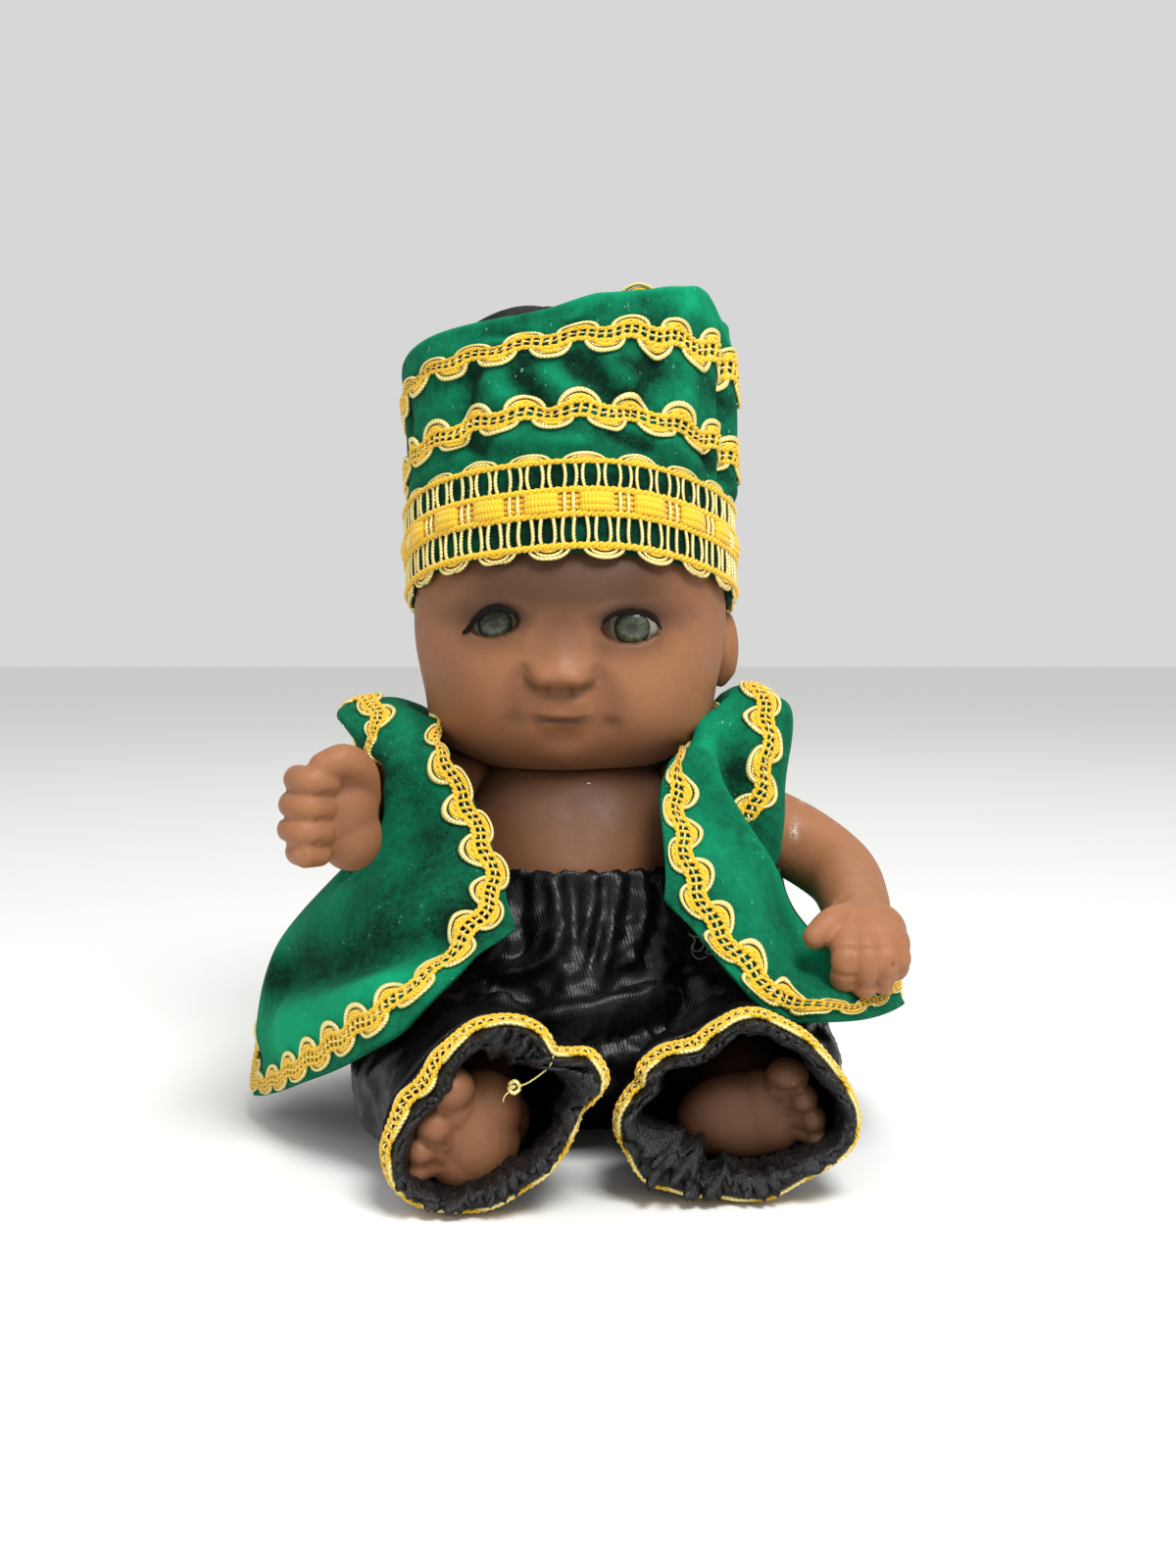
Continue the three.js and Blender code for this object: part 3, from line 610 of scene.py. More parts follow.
# Soft pushes out from the middle of the head: centre, reach and height
FACE_FORMS = [
    ((-20, -27, 102), 12, 3.2), ((18, -28, 101), 12, 3.2),
    ((-30, -12, 103), 12, 0.7), ((29, -12, 103), 12, 0.7),
    ((-1.8, -27, 86.5), 7.0, 3.3), ((-2.6, -34, 107.5), 4.6, 3.6),
    ((-7.3, -33.5, 106.9), 2.8, 2.2), ((2.0, -33.5, 106.8), 2.8, 2.2), ((-2.2, -38, 106.6), 3.8, 2.3),
    ((-2.3, -34, 113.6), 3.6, 0.5), ((-5.4, -33, 103.4), 1.4, -0.9), ((0.0, -33.2, 103.3), 1.4, -1.0),
    ((-2.6, -33, 102.4), 2.2, -0.6), ((-1.8, -30, 100.6), 4.4, 1.5), ((1.2, -31, 101.2), 2.2, 1.0),
    ((-4.8, -31, 101.0), 2.2, 0.4), ((-1.8, -31, 101.6), 1.1, -0.4), ((-16, -30, 118.5), 7, -1.2),
    ((13.6, -30, 118.2), 7, -1.2), ((-13.2, -27, 97.4), 2.2, -0.9),
    ((8.6, -27, 96.4), 2.2, -0.9), ((-2, -28, 92.2), 4.2, -1.4),
    ((-16, -30, 128.5), 7.5, 0.8), ((13.5, -30, 128.5), 7.5, 0.8),
    ((-27, -16, 119), 7, -0.7), ((26, -18, 119), 7, -0.7),
    ((-1.6, -34, 118.5), 4.5, -0.7),
]
CHEEK_LINES = [
    [(-10.6, -32, 107.4), (-13.0, -30, 102.5), (-14.0, -27, 98.0)],
    [(5.4, -32, 107.2), (8.2, -30, 102.5), (9.4, -27, 97.6)],
]
NOSE_CREASES = [
    [(-10.0, -31.7, 105.8), (-7.4, -31.8, 103.6), (-2.7, -32.4, 102.6), (1.9, -32.4, 103.5),
     (4.8, -31.8, 105.6)],
    [(-9.9, -32.3, 109.4), (-11.2, -31.4, 107.3), (-10.5, -31.3, 105.3)],
    [(4.7, -32.6, 109.3), (6.0, -31.7, 107.2), (5.2, -31.4, 105.1)],
]

# Dark spots, measured flat across the face: painted shade in the nostrils, under the nose, in the mouth's
# corners and under the lower lip, and dark spray under the eyes; place, reach and darkness
SHADE_AND_SPRAY_SPOTS = [
    ((7.6, 114.0), 4.6, 0.55), ((-12.0, 114.4), 3.4, 0.4),
    ((-13.4, 97.3), 3.8, 0.42), ((8.8, 96.3), 3.8, 0.44),
    ((-5.4, 103.5), 1.5, 0.66), ((0.0, 103.4), 1.5, 0.74), ((-2.6, 102.8), 3.0, 0.44),
    ((-2, 92.0), 5.0, 0.2),
]

# Lash strips: a route along the upper lid and how far the lashes hang down
LASHES = {
    "left": ([(-12.4, -31.8, 120.5), (-14.4, -31.3, 121.8), (-17.0, -30.3, 122.2), (-19.6, -28.9, 121.2),
              (-21.8, -27.0, 119.2), (-23.3, -26.0, 117.4), (-24.5, -25.1, 116.3)], 1.9),
    "right": ([(6.6, -32.5, 118.4), (8.6, -32.3, 120.3), (12.4, -31.8, 121.3), (16.2, -30.6, 120.6),
               (18.6, -29.2, 119.0), (19.8, -28.0, 117.2)], 1.2),
}


def eye_outline(side):
    """The edge of an eye's opening, across and up."""
    opening = EYE_OPENINGS[side]
    along_eye = np.linspace(-1, 1, 33)
    x = np.interp(along_eye, [-1, 1], opening["ends"])
    level = np.interp(along_eye, [-1, 1], opening["height"])
    round_off = np.sqrt(np.clip(1 - along_eye ** 2, 0, 1))
    upper = np.stack([x, level + opening["up"] * round_off ** 0.9], -1)
    lower = np.stack([x, level - opening["down"] * round_off ** 1.1], -1)
    return np.concatenate([upper, lower[::-1][1:-1]])


def depth_inside(points, outline):
    """How far each flat point is inside a closed outline, negative outside."""
    a, b = outline, np.roll(outline, -1, 0)
    leg = b - a
    away = points[:, None] - a[None]
    t = np.clip((away * leg).sum(-1) / np.maximum((leg ** 2).sum(-1), 1e-9), 0, 1)
    far = np.linalg.norm(away - t[..., None] * leg, axis=-1).min(1)
    above = (a[None, :, 1] > points[:, None, 1]) != (b[None, :, 1] > points[:, None, 1])
    slope = np.where(np.abs(leg[:, 1]) < 1e-9, 1e-9, leg[:, 1])
    crossing = leg[None, :, 0] * (points[:, None, 1] - a[None, :, 1]) / slope[None] + a[None, :, 0]
    inside = (above & (points[:, None, 0] < crossing)).sum(1) % 2 == 1
    return np.where(inside, far, -far)


def head_form():
    """The head before its mouth and eyes are cut, and the places of its mesh."""
    head, _, _, at = ball("doll_head", 330, 210)
    side = np.arctan2(at[:, 0], -at[:, 1])
    turned = side - 0.45 * np.sin(side)  # crowds the places towards the face
    ring = np.hypot(at[:, 0], at[:, 1])
    jowl = hump(at[:, 2], -0.75, 0.23)
    chin = 1 - 0.1 * smooth(-at[:, 2], 0.9, 1)
    rx, ry, rz = HEAD["radii"]
    points = HEAD["centre"] + np.stack([
        rx * ring * np.sin(turned) * (chin + 0.03 + 0.205 * jowl),
        -ry * ring * np.cos(turned) * (chin + 0.05 * jowl), rz * at[:, 2]], -1)
    for centre, reach, height in FACE_FORMS:
        points = dab(points, unit(points - HEAD["centre"]), centre, reach, height)
    return head, points


def shape_mouth(points):
    """Raises the lips and sinks the lines of the mouth, the cheeks and the nose."""
    away = unit(points - HEAD["centre"])
    upper = [(x, y, z + 1.7) for x, y, z in LIP_LINE]
    lower = [(x * 0.8 - 0.3, y, z - 1.9) for x, y, z in LIP_LINE]
    points = fold(points, away, upper, 2.0, 1.05, 0.3)
    points = fold(points, away, lower, 2.2, 1.6, 0.35)
    for line in CHEEK_LINES:
        points = fold(points, away, line, 2.8, -0.5, 0.35)
    for line, depth in zip(NOSE_CREASES, (-0.5, -0.6, -0.6)):
        points = fold(points, away, line, 1.3, depth, 0.3)
    return fold(points, away, [(x, y - 0.9, z) for x, y, z in LIP_LINE], 0.8, -1.15, 0.35)


def shape_eyes(points):
    """Sinks an opening for each eye, with the hollow between it and its lids."""
    front = points[:, 1] < -12
    for side in EYE_OPENINGS:
        near = front & (np.abs(points[:, 0] - IRISES[side][0]) < 17)
        near &= np.abs(points[:, 2] - EYE_LEVEL) < 14
        inside = depth_inside(points[near][:, [0, 2]], eye_outline(side))
        upper = smooth(points[near][:, 2], 117.5, 120.5)
        lid = (0.15 + 0.3 * upper) * hump(inside, -1.2, 1.4)
        points[near, 1] += EYE_DEPTH * smooth(inside, -0.05, 0.5) - lid
    return points


def airbrush(points):
    """How dark each place of the face is made: spray paint round the eyes, painted shade in the eye openings,
    nostrils and creases, under the chin and under the cap, and less dark where a highlight is painted on the
    nose tip and the right cheek.
    """
    shade = np.zeros(len(points))
    front = points[:, 1] < FACE_FRONT
    flat = points[:, [0, 2]]
    # Round each eye: dark spray paint, with painted shade on the sunk wall inside the opening, where the rim
    # value is highest
    for side, outer in (("left", -1), ("right", 1)):
        inside = np.full(len(points), -99.0)
        inside[front] = depth_inside(flat[front], eye_outline(side))
        out = np.clip(-inside, 0, 99)
        over = smooth(points[:, 2], 115.5, 121)
        rim = (0.55 + 0.35 * over) * hump(out, 0, 0.6 + 0.9 * over)
        soft = (0.58 + 0.26 * over) * np.exp(-(out / (4.4 + 5.2 * over)) ** 1.4)
        x, z = IRISES[side]
        tail = np.hypot((points[:, 0] - x - outer * 9) / 6, (points[:, 2] - z - 1.5) / 3.2)
        shade = np.maximum(shade, np.maximum(np.maximum(rim, soft), 0.5 * hump(tail, 0, 1)) * front)
    for place, reach, amount in SHADE_AND_SPRAY_SPOTS:
        shade = np.maximum(shade, amount * hump(distance(flat, place), 0, reach) * front)
    # Painted shade along the mouth's line, darkest in its middle
    far, place = near_route(flat, np.array(LIP_LINE)[:, [0, 2]])
    middle = smooth(place, 0, 0.34) * smooth(1 - place, 0, 0.34)
    lips = np.maximum(0.88 * middle, 0.26) * hump(far, 0, 0.75 + 1.1 * (1 - middle))
    shade = np.maximum(shade, lips * front)
    # Painted shade in the creases from the nose to the mouth's corners
    for line in CHEEK_LINES:
        shade = np.maximum(shade, 0.32 * hump(near_route(points, line)[0], 0, 4.2) * front)
    # Painted shade in the creases under and beside the nose
    for line, amount in zip(NOSE_CREASES, (0.5, 0.3, 0.3)):
        far, _ = near_route(flat, np.array(line)[:, [0, 2]])
        shade = np.maximum(shade, amount * hump(far, 0, 1.6) * front)
    # Painted shade under the chin and between the eyes, and a darker forehead from spray above the eyes and a
    # painted shadow of the cap
    chin = 0.2 * falling(points[:, 2], 86, 96)
    brow = 0.66 * smooth(points[:, 2], 113, 125) * (1 - 0.75 * smooth(np.abs(points[:, 0] + 1), 15, 32))
    bridge = 0.56 * hump(distance(points, (-2.5, -35, 120.5)), 0, 8.5)
    # Painted highlights: less dark on the nose tip and on the right cheek
    nose_tip = 0.1 * hump(distance(points, (-2.2, -39, 107.6)), 0, 5)
    cheek = 0.12 * hump(distance(points, (18, -30, 105)), 0, 9)
    over_all = 0.1 + np.maximum(np.maximum(chin, brow), bridge) - nose_tip - cheek
    return np.clip(np.maximum(shade, over_all), 0, 1)


def ear_form(side):
    """One ear: a lobe with a rolled rim round a hollow."""
    ear, _, _, at = ball("ear", 48, 32)
    low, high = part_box("head")
    edge = (high.x if side > 0 else low.x) / MM
    centre = np.array([edge - 1.6, 5.5, 112.0] if side > 0 else [edge + 4.6, 10.0, 114.0])
    points = at * np.array([3.6, 5.6, 9.2])
    points[:, 1] *= 1 - 0.3 * smooth(-points[:, 2], 0, 9)
    flat = np.hypot(points[:, 1] / 3.6, (points[:, 2] - 1.2) / 6.2)
    facing_out = smooth(side * at[:, 0], -0.1, 0.3)
    points[:, 0] -= side * 3.0 * facing_out * (1 - smooth(flat, 0.55, 1.05))
    points[:, 0] += side * 0.7 * hump(flat, 1.15, 0.22) * facing_out
    tilt = math.radians(-14)
    y = points[:, 1] * math.cos(tilt) - side * points[:, 0] * math.sin(tilt)
    x = points[:, 0] * math.cos(tilt) + side * points[:, 1] * math.sin(tilt)
    move(ear, np.stack([x, y, points[:, 2]], -1) + centre)
    return ear


def eye_form(side):
    """A glass eye that looks ahead, with its iris mapped round the middle of its gaze."""
    low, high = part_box(side + "_eye")
    centre = (np.array(low) + np.array(high)) / 2 / MM
    eye, _, _, at = ball(side + "_glass_eye", 72, 48)
    x, z = IRISES[side]
    gaze = unit(np.array([x - centre[0], -math.sqrt(EYE_RADIUS ** 2 - 1), z - centre[2]]))
    outer = at[:, [0, 2, 1]] * np.array([1, -1, 1])
    right = unit(np.cross(gaze, UP))
    lift = np.cross(right, gaze)
    points = outer[:, :1] * right + outer[:, 2:] * lift - outer[:, 1:2] * gaze
    facing = points @ gaze
    bulge = 1 + 0.035 * smooth(facing, 0.88, 0.98)
    move(eye, centre + points * (EYE_RADIUS * bulge)[:, None])
    spots = np.stack([points @ right, points @ lift], -1)
    spots[facing < 0] = 1.0
    layer = eye.data.uv_layers.new(name="iris")
    layer.data.foreach_set("uv", spots[corners(eye)].astype(np.float32).ravel())
    outwards(eye)
    return eye


def lash_strip(name, route, depth):
    """A strip of lashes: a curved band with a ragged lower edge."""
    strip, t, v = grid(name, 90, 6)
    ends = np.sin(math.pi * np.clip(t, 0.02, 0.98)) ** 0.5
    ragged = 1 + 0.28 * np.sin(t * 83) * np.sin(t * 37 + 1)
    hang = (v - 0.35) * depth * ends * ragged
    stand = 0.35 + 0.5 * v
    move(strip, along(route, t) + np.stack([np.zeros_like(v), -stand, -hang], -1))
    modify(strip, "SOLIDIFY", thickness=0.25 * MM, offset=0)
    outwards(strip)
    return strip


class DRESSED_DOLL_OT_head(bpy.types.Operator):
    """Model the head with its ears, glass eyes and lash strips"""
    bl_idname = "dressed_doll.head"
    bl_label = "Head"

    def execute(self, context):
        head, points = head_form()
        move(head, shape_eyes(shape_mouth(points)))
        head = join("doll_head", [head, ear_form(-1), ear_form(1)])
        paint(head, "airbrush", airbrush(places(head)))
        dress(head, vinyl_finish())
        finish(head, "vinyl", "head")
        for side in EYE_OPENINGS:
            eye = eye_form(side)
            dress(eye, eye_finish())
            finish(eye, "eyes", side + "_eye")
        lashes = lash_finish()
        for side, (route, depth) in LASHES.items():
            strip = lash_strip(side + "_lash", route, depth)
            dress(strip, lashes)
            finish(strip, "vinyl")
        return {"FINISHED"}


# Torso and limbs

# The torso's ovals: height, half width, half depth and shift in depth
TORSO_OVALS = [(5, 14, 12, 1), (9, 23, 20, 0), (24, 28, 25, -1), (42, 29, 27.5, -2), (60, 27, 26, -3),
               (72, 25.5, 22.5, -3), (82, 21, 17, -2), (90, 12, 10, 0)]
NECK_GAP = 1.0


def stacked(name, ovals, columns, rows, pole, gathered=None):
    """A closed body through stacked ovals, with its ends raised to poles."""
    body, turn, fall, _ = ball(name, columns, rows)
    t = np.clip((1 - fall - 1 / rows) / (1 - 2 / rows), 0, 1)
    z, wide, deep, shift = along(ovals, t).T
    top, bottom = fall < 0.2 / rows, fall > 1 - 0.2 / rows
    if gathered:
        extra = gathered(turn, z)
        wide, deep = wide + extra, deep + extra
    wide, deep = (np.where(top | bottom, 0, half) for half in (wide, deep))
    z = z + np.where(top, pole, 0) - np.where(bottom, pole, 0)
    move(body, np.stack([wide * np.cos(turn), shift + deep * np.sin(turn), z], -1))
    outwards(body)
    return body


def limb(route, radii, columns=28, rows=44, cap=0.16):
    """A round limb along a smooth route, with rounded ends."""
    body, turn, fall, _ = ball("limb", columns, rows)
    t = np.clip((fall - cap) / (1 - 2 * cap), 0, 1)
    heading = headings(route, t)
    start = np.clip(fall / cap, 0, 1) * math.pi / 2
    end = np.clip((1 - fall) / cap, 0, 1) * math.pi / 2
    rounded = np.sin(start) * np.sin(end)
    radius = along(radii, t)
    push = radius * (np.cos(end) - np.cos(start))
    upright = np.abs(heading[:, 2:]) > 0.9
    side = unit(np.cross(heading, np.where(upright, np.array([[1.0, 0, 0]]), UP[None])))
    lift = np.cross(side, heading)
    ring = np.cos(turn)[:, None] * side + np.sin(turn)[:, None] * lift
    move(body, along(route, t) + heading * push[:, None] + ring * (radius * rounded)[:, None])
    outwards(body)
    return body


def blob(centre, radii, columns=28, rows=20):
    body, _, _, at = ball("blob", columns, rows)
    move(body, np.array(centre) + at * np.array(radii))
    return body


def moulded(name, parts, rounds):
    """One skin of vinyl over joined forms."""
    body = join(name, parts)
    remesh(body, settings().vinyl.detail / MM, rounds)
    return body


def creases(obj, *lines):
    """Sinks moulded lines into a skin: each a route, its width, its depth and how its ends fade."""
    points, facing = places(obj), normals(obj)
    for route, width, depth, fade in lines:
        points = fold(points, facing, route, width, -depth, fade)
    move(obj, points)
    return obj


# Each arm's route from the shoulder to the wrist, its radii and the round forms of its hand
LEFT_ARM = {
    "route": [(-26, 4, 77), (-40, 4, 78), (-51.5, -2, 78), (-54, -18, 78), (-52.8, -42, 79)],
    "radii": [9.6, 9.8, 9.8, 9.6, 8.6],
    "palm": [((-49.6, -49.0, 79.3), (8.6, 8.8, 10.6)), ((-53.4, -54.0, 78.8), (6.2, 5.0, 10.2)),
             ((-47.2, -48.6, 73.6), (6.9, 7.8, 7.6))],
    "thumb": ([(-45.0, -46.5, 82.0), (-45.0, -52.0, 87.4), (-47.4, -57.2, 90.4), (-51.4, -59.2, 89.4)],
              [4.6, 4.2, 3.6, 3.0]),
}
RIGHT_ARM = {
    "route": [(26, 3, 76), (40, 4, 71.5), (53, 4, 66), (62.8, -5, 59.5), (64.6, -21, 54.5), (63.6, -33, 52.4)],
    "radii": [9.6, 9.6, 9.4, 8.8, 7.9, 7.0],
    "palm": [((63.8, -41.0, 51.4), (9.4, 8.2, 7.2)), ((64.4, -46.0, 49.6), (8.8, 6.8, 6.6))],
    "thumb": ([(59.6, -42, 54), (55.8, -46.8, 54.2), (52.2, -49.2, 51.8)], [4.2, 3.5, 2.9]),
}

# The fist's fingers: height, tip and knuckle across, and radius; the open hand's: tip and radius
FIST_FINGERS = [(86.4, -50.2, -56.4, 3.1), (81.1, -51.2, -57.5, 3.15), (75.9, -51.6, -57.9, 3.1),
                (71.2, -52.6, -56.6, 2.8)]
OPEN_FINGERS = [(58.0, -52.4, 43.0, 3.3), (62.4, -53.0, 41.8, 3.3), (66.6, -51.4, 42.2, 3.1),
                (70.0, -48.4, 44.2, 2.8)]


def digit(route, radii):
    return limb(route, radii, 18, 26)


def arm_form(name, arm, fingers, rounds):
    """An arm and its hand under one skin."""
    parts = [limb(arm["route"], arm["radii"])] + [blob(centre, radii) for centre, radii in arm["palm"]]
    parts += [digit(*finger) for finger in fingers] + [digit(*arm["thumb"])]
    return moulded(name, parts, rounds)


def left_arm_form():
    fingers = [([(tip, -57.4, z - 0.5), (tip - 2.6, -60.4, z - 0.2), (knuckle + 1.4, -60.2, z),
                 (knuckle - 0.6, -56.6, z), (knuckle - 0.4, -50, z - 0.4)],
                [thick * 0.92, thick, thick * 1.03, thick, thick * 0.9])
               for z, tip, knuckle, thick in FIST_FINGERS]
    between = [([(-46.6, -58.2, z - 0.4), (-52, -61.6, z), (x + 1.4, -59.5, z), (x, -52, z)], 0.55, 0.45, 0.15)
               for z, x in ((83.8, -59.4), (78.5, -60.8), (73.6, -60.6))]
    return creases(
        arm_form("left_vinyl_arm", LEFT_ARM, fingers, 7), *between,
        ([(-46.4, -54, 89.4), (-47.0, -58.8, 84.4), (-48, -58.6, 78), (-48.6, -58, 72)], 0.9, 0.55, 0.2),
        ([(-41, -46, 71), (-38.6, -46, 79), (-41, -47, 88)], 2.0, 0.6, 0.2))


def right_arm_form():
    knuckles = 63.6
    fingers = [([(knuckles + (x - knuckles) * 0.7, -43.5, 52.6),
                 (knuckles + (x - knuckles) * 0.92, y + 1.2, 50.2), (x + 0.2, y - 0.6, 46.6), (x, y + 1.2, z)],
                [3.6, thick * 1.05, thick, thick * 0.9]) for x, y, z, thick in OPEN_FINGERS]
    between = [([(x - 0.3, -54.4, 47.4), (x, -54.6, 44.6), (x, -52, 40.6)], 0.6, 0.9, 0.12)
               for x in (60.4, 64.8, 68.6)]
    return creases(
        arm_form("right_vinyl_arm", RIGHT_ARM, fingers, 12), *between,
        ([(57.0, -34.0, 56.4), (63.8, -35.0, 60.2), (70.8, -33.4, 56.4), (72.2, -32.4, 51)], 1.0, 0.9, 0.1))


# Each foot: how much painted shade it has inside its cuff, deeper for the right foot, the route of its shin,
# the centres and radii of the forms of its sole and toes, and the creases between them
LEFT_FOOT = {
    "shade": 0.26,
    "shin": [(-12, -2, 19), (-24, -30, 18), (-20, -50, 16.5), (-16, -59, 14.5)],
    "sole": [((-18.0, -66.5, 18.6), (8.0, 7.0, 8.8)), ((-17.6, -66.5, 12.6), (7.2, 6.4, 8.2)),
             ((-22.4, -68.0, 9.4), (7.6, 6.2, 7.6)), ((-21.6, -68.5, 16.0), (7.8, 6.6, 9.4)),
             ((-20.4, -67.8, 14.0), (9.2, 7.4, 12.0))],
    "toes": [((-24.2, -74.6, 25.4), (4.9, 5.4, 4.5)), ((-27.6, -75.0, 17.8), (4.0, 4.3, 3.9)),
             ((-30.4, -74.4, 12.6), (3.3, 4.0, 3.4)), ((-31.2, -73.2, 8.2), (2.9, 3.6, 2.8))],
    "creases": [[(-26.5, -77.0, 20.8), (-23.0, -76.6, 20.9), (-19.4, -74.6, 22.6), (-17.8, -72.0, 25)],
                [(-30.6, -77.0, 15.2), (-27.0, -77.0, 13.8), (-25.0, -75.0, 13.6)],
                [(-31.6, -76.0, 10.4), (-28.6, -76.0, 9.8), (-26.8, -74.4, 9.8)]],
}
RIGHT_FOOT = {
    "shade": 0.68,
    "shin": [(12, -2, 19), (35, -26, 18), (37, -42, 17), (33, -52, 15)],
    "sole": [((29.2, -56.5, 13.8), (7.0, 6.0, 7.8)), ((36.4, -57.4, 14.9), (13.6, 6.9, 9.6)),
             ((40.6, -58.6, 16.0), (7.4, 6.2, 9.6)), ((43.0, -59.0, 14.4), (6.2, 5.6, 7.4))],
    "toes": [((45.0, -63.8, 25.4), (4.5, 4.8, 3.7)), ((48.2, -64.4, 20.4), (3.1, 4.0, 3.3)),
             ((50.4, -64.0, 16.0), (2.8, 3.7, 3.0)), ((51.2, -63.4, 12.0), (2.5, 3.3, 2.6))],
    "creases": [[(41.4, -65, 22.2), (44.6, -66.6, 22.4), (48, -66.6, 23.2)],
                [(44.6, -64.6, 17.6), (46.8, -66.0, 18.0), (50, -66.6, 18.2)]],
}


def leg_form(name, foot):
    """A leg and its foot under one skin, with a short root from the ball of the foot to each toe."""
    parts = [limb(foot["shin"], [11, 11.2, 9.8, 7.4])]
    parts += [blob(centre, radii) for centre, radii in foot["sole"]]
    ball_of_foot = np.array(foot["sole"][2][0])
    for centre, radii in foot["toes"]:
        parts.append(blob(centre, radii, 24, 18))
        root = np.array(centre) * 0.62 + ball_of_foot * 0.38
        thick = min(radii)
        parts.append(limb([tuple(root), centre], [thick * 0.9, thick * 0.95], 18, 18))
    return creases(moulded(name, parts, 6), *((line, 0.8, 0.6, 0.2) for line in foot["creases"]))


# Where pale residue sticks to the lowered arm: round its wrist and on its seam
RESIDUE_LINES = [[(55.4, -32.6, 57.4), (63.8, -35.4, 60.8), (71.6, -32.4, 57.4), (73, -30, 52)],
                 [(52, -6, 68), (55, 4, 75), (60, 8, 72)]]


class DRESSED_DOLL_OT_torso(bpy.types.Operator):
    """Model the torso, hollowed at the top where the head turns on it"""
    bl_idname = "dressed_doll.torso"
    bl_label = "Torso"

    def execute(self, context):
        torso = stacked("vinyl_torso", TORSO_OVALS, 120, 90, 1.0)
        points, facing = places(torso), normals(torso)
        points = dab(points, facing, (-13, -24, 78), 8, 1.0)
        points = dab(points, facing, (12, -24, 78), 8, 1.0)
        points = fold(points, facing, [(0, -24, 84), (0, -27, 74), (0, -30, 64)], 2.5, -0.5)
        points = dab(points, facing, (0, -31, 60), 10, 0.8)
        away, room = points - HEAD["centre"], HEAD["radii"] + NECK_GAP
        inside = np.linalg.norm(away / room, axis=1) < 1
        lowered = np.sqrt(np.clip(1 - ((away[:, :2] / room[:2]) ** 2).sum(1), 0, 1))
        points[inside, 2] = HEAD["centre"][2] - room[2] * lowered[inside]
        move(torso, points)
        # Painted shade on the chest, darker up towards the neck under the head
        paint(torso, "airbrush", 0.44 + 0.3 * smooth(points[:, 2], 62, 84))
        dress(torso, bpy.data.materials["brown_vinyl"])
        finish(torso, "vinyl", "torso")
        return {"FINISHED"}


class DRESSED_DOLL_OT_limbs(bpy.types.Operator):
    """Model the raised left arm and fist, the lowered right arm and hand, and both bare feet"""
    bl_idname = "dressed_doll.limbs"
    bl_label = "Arms and legs"

    def execute(self, context):
        skin = bpy.data.materials["brown_vinyl"]
        left, right = left_arm_form(), right_arm_form()
        wrist, seam = (near_route(places(right), line)[0] for line in RESIDUE_LINES)
        paint(right, "residue", np.maximum(1.3 * hump(wrist, 0, 0.9), hump(seam, 0, 1.0)))
        # Painted shade on the palm of the fist
        paint(left, "airbrush", 0.3 * hump(distance(places(left), (-45, -52, 78)), 0, 13))
        legs = []
        for side, foot in (("left", LEFT_FOOT), ("right", RIGHT_FOOT)):
            legs.append(leg_form(side + "_vinyl_leg", foot))
            # An even painted shade over each leg and foot
            paint(legs[-1], "airbrush", np.full(len(legs[-1].data.vertices), foot["shade"]))
        for piece, node in zip([left, right] + legs, ("left_arm", "right_arm", "left_leg", "right_leg")):
            dress(piece, skin)
            finish(piece, "vinyl", node)
        return {"FINISHED"}


# The cap

# The cap's sizes, the front-to-back shift of its brow and its rim, and its slopes in degrees
CAP = {"half_width": 38.2, "half_depth": 37.0, "brow": 122.0, "top": 185.5, "centre_y": (4.0, 9.5),
       "tilt": 15.5, "top_tilt": 9.0, "roll": 8.0, "edge_roll": 1.6, "round": 236.0}
CAP_HEIGHT = CAP["top"] - CAP["brow"]

# The trims' levels, from 0 at the brow to 1 at the rim
BROW_ROW, MIDDLE_ROW, TOP_ROW = 0.187, 0.555, 0.815

# The level where the velvet starts and how far it reaches, and the crown's level and gap in it
CAP_START, CAP_REACH = 0.028, 1.1
CROWN_LEVEL, CROWN_GAP = 0.93, 1.0

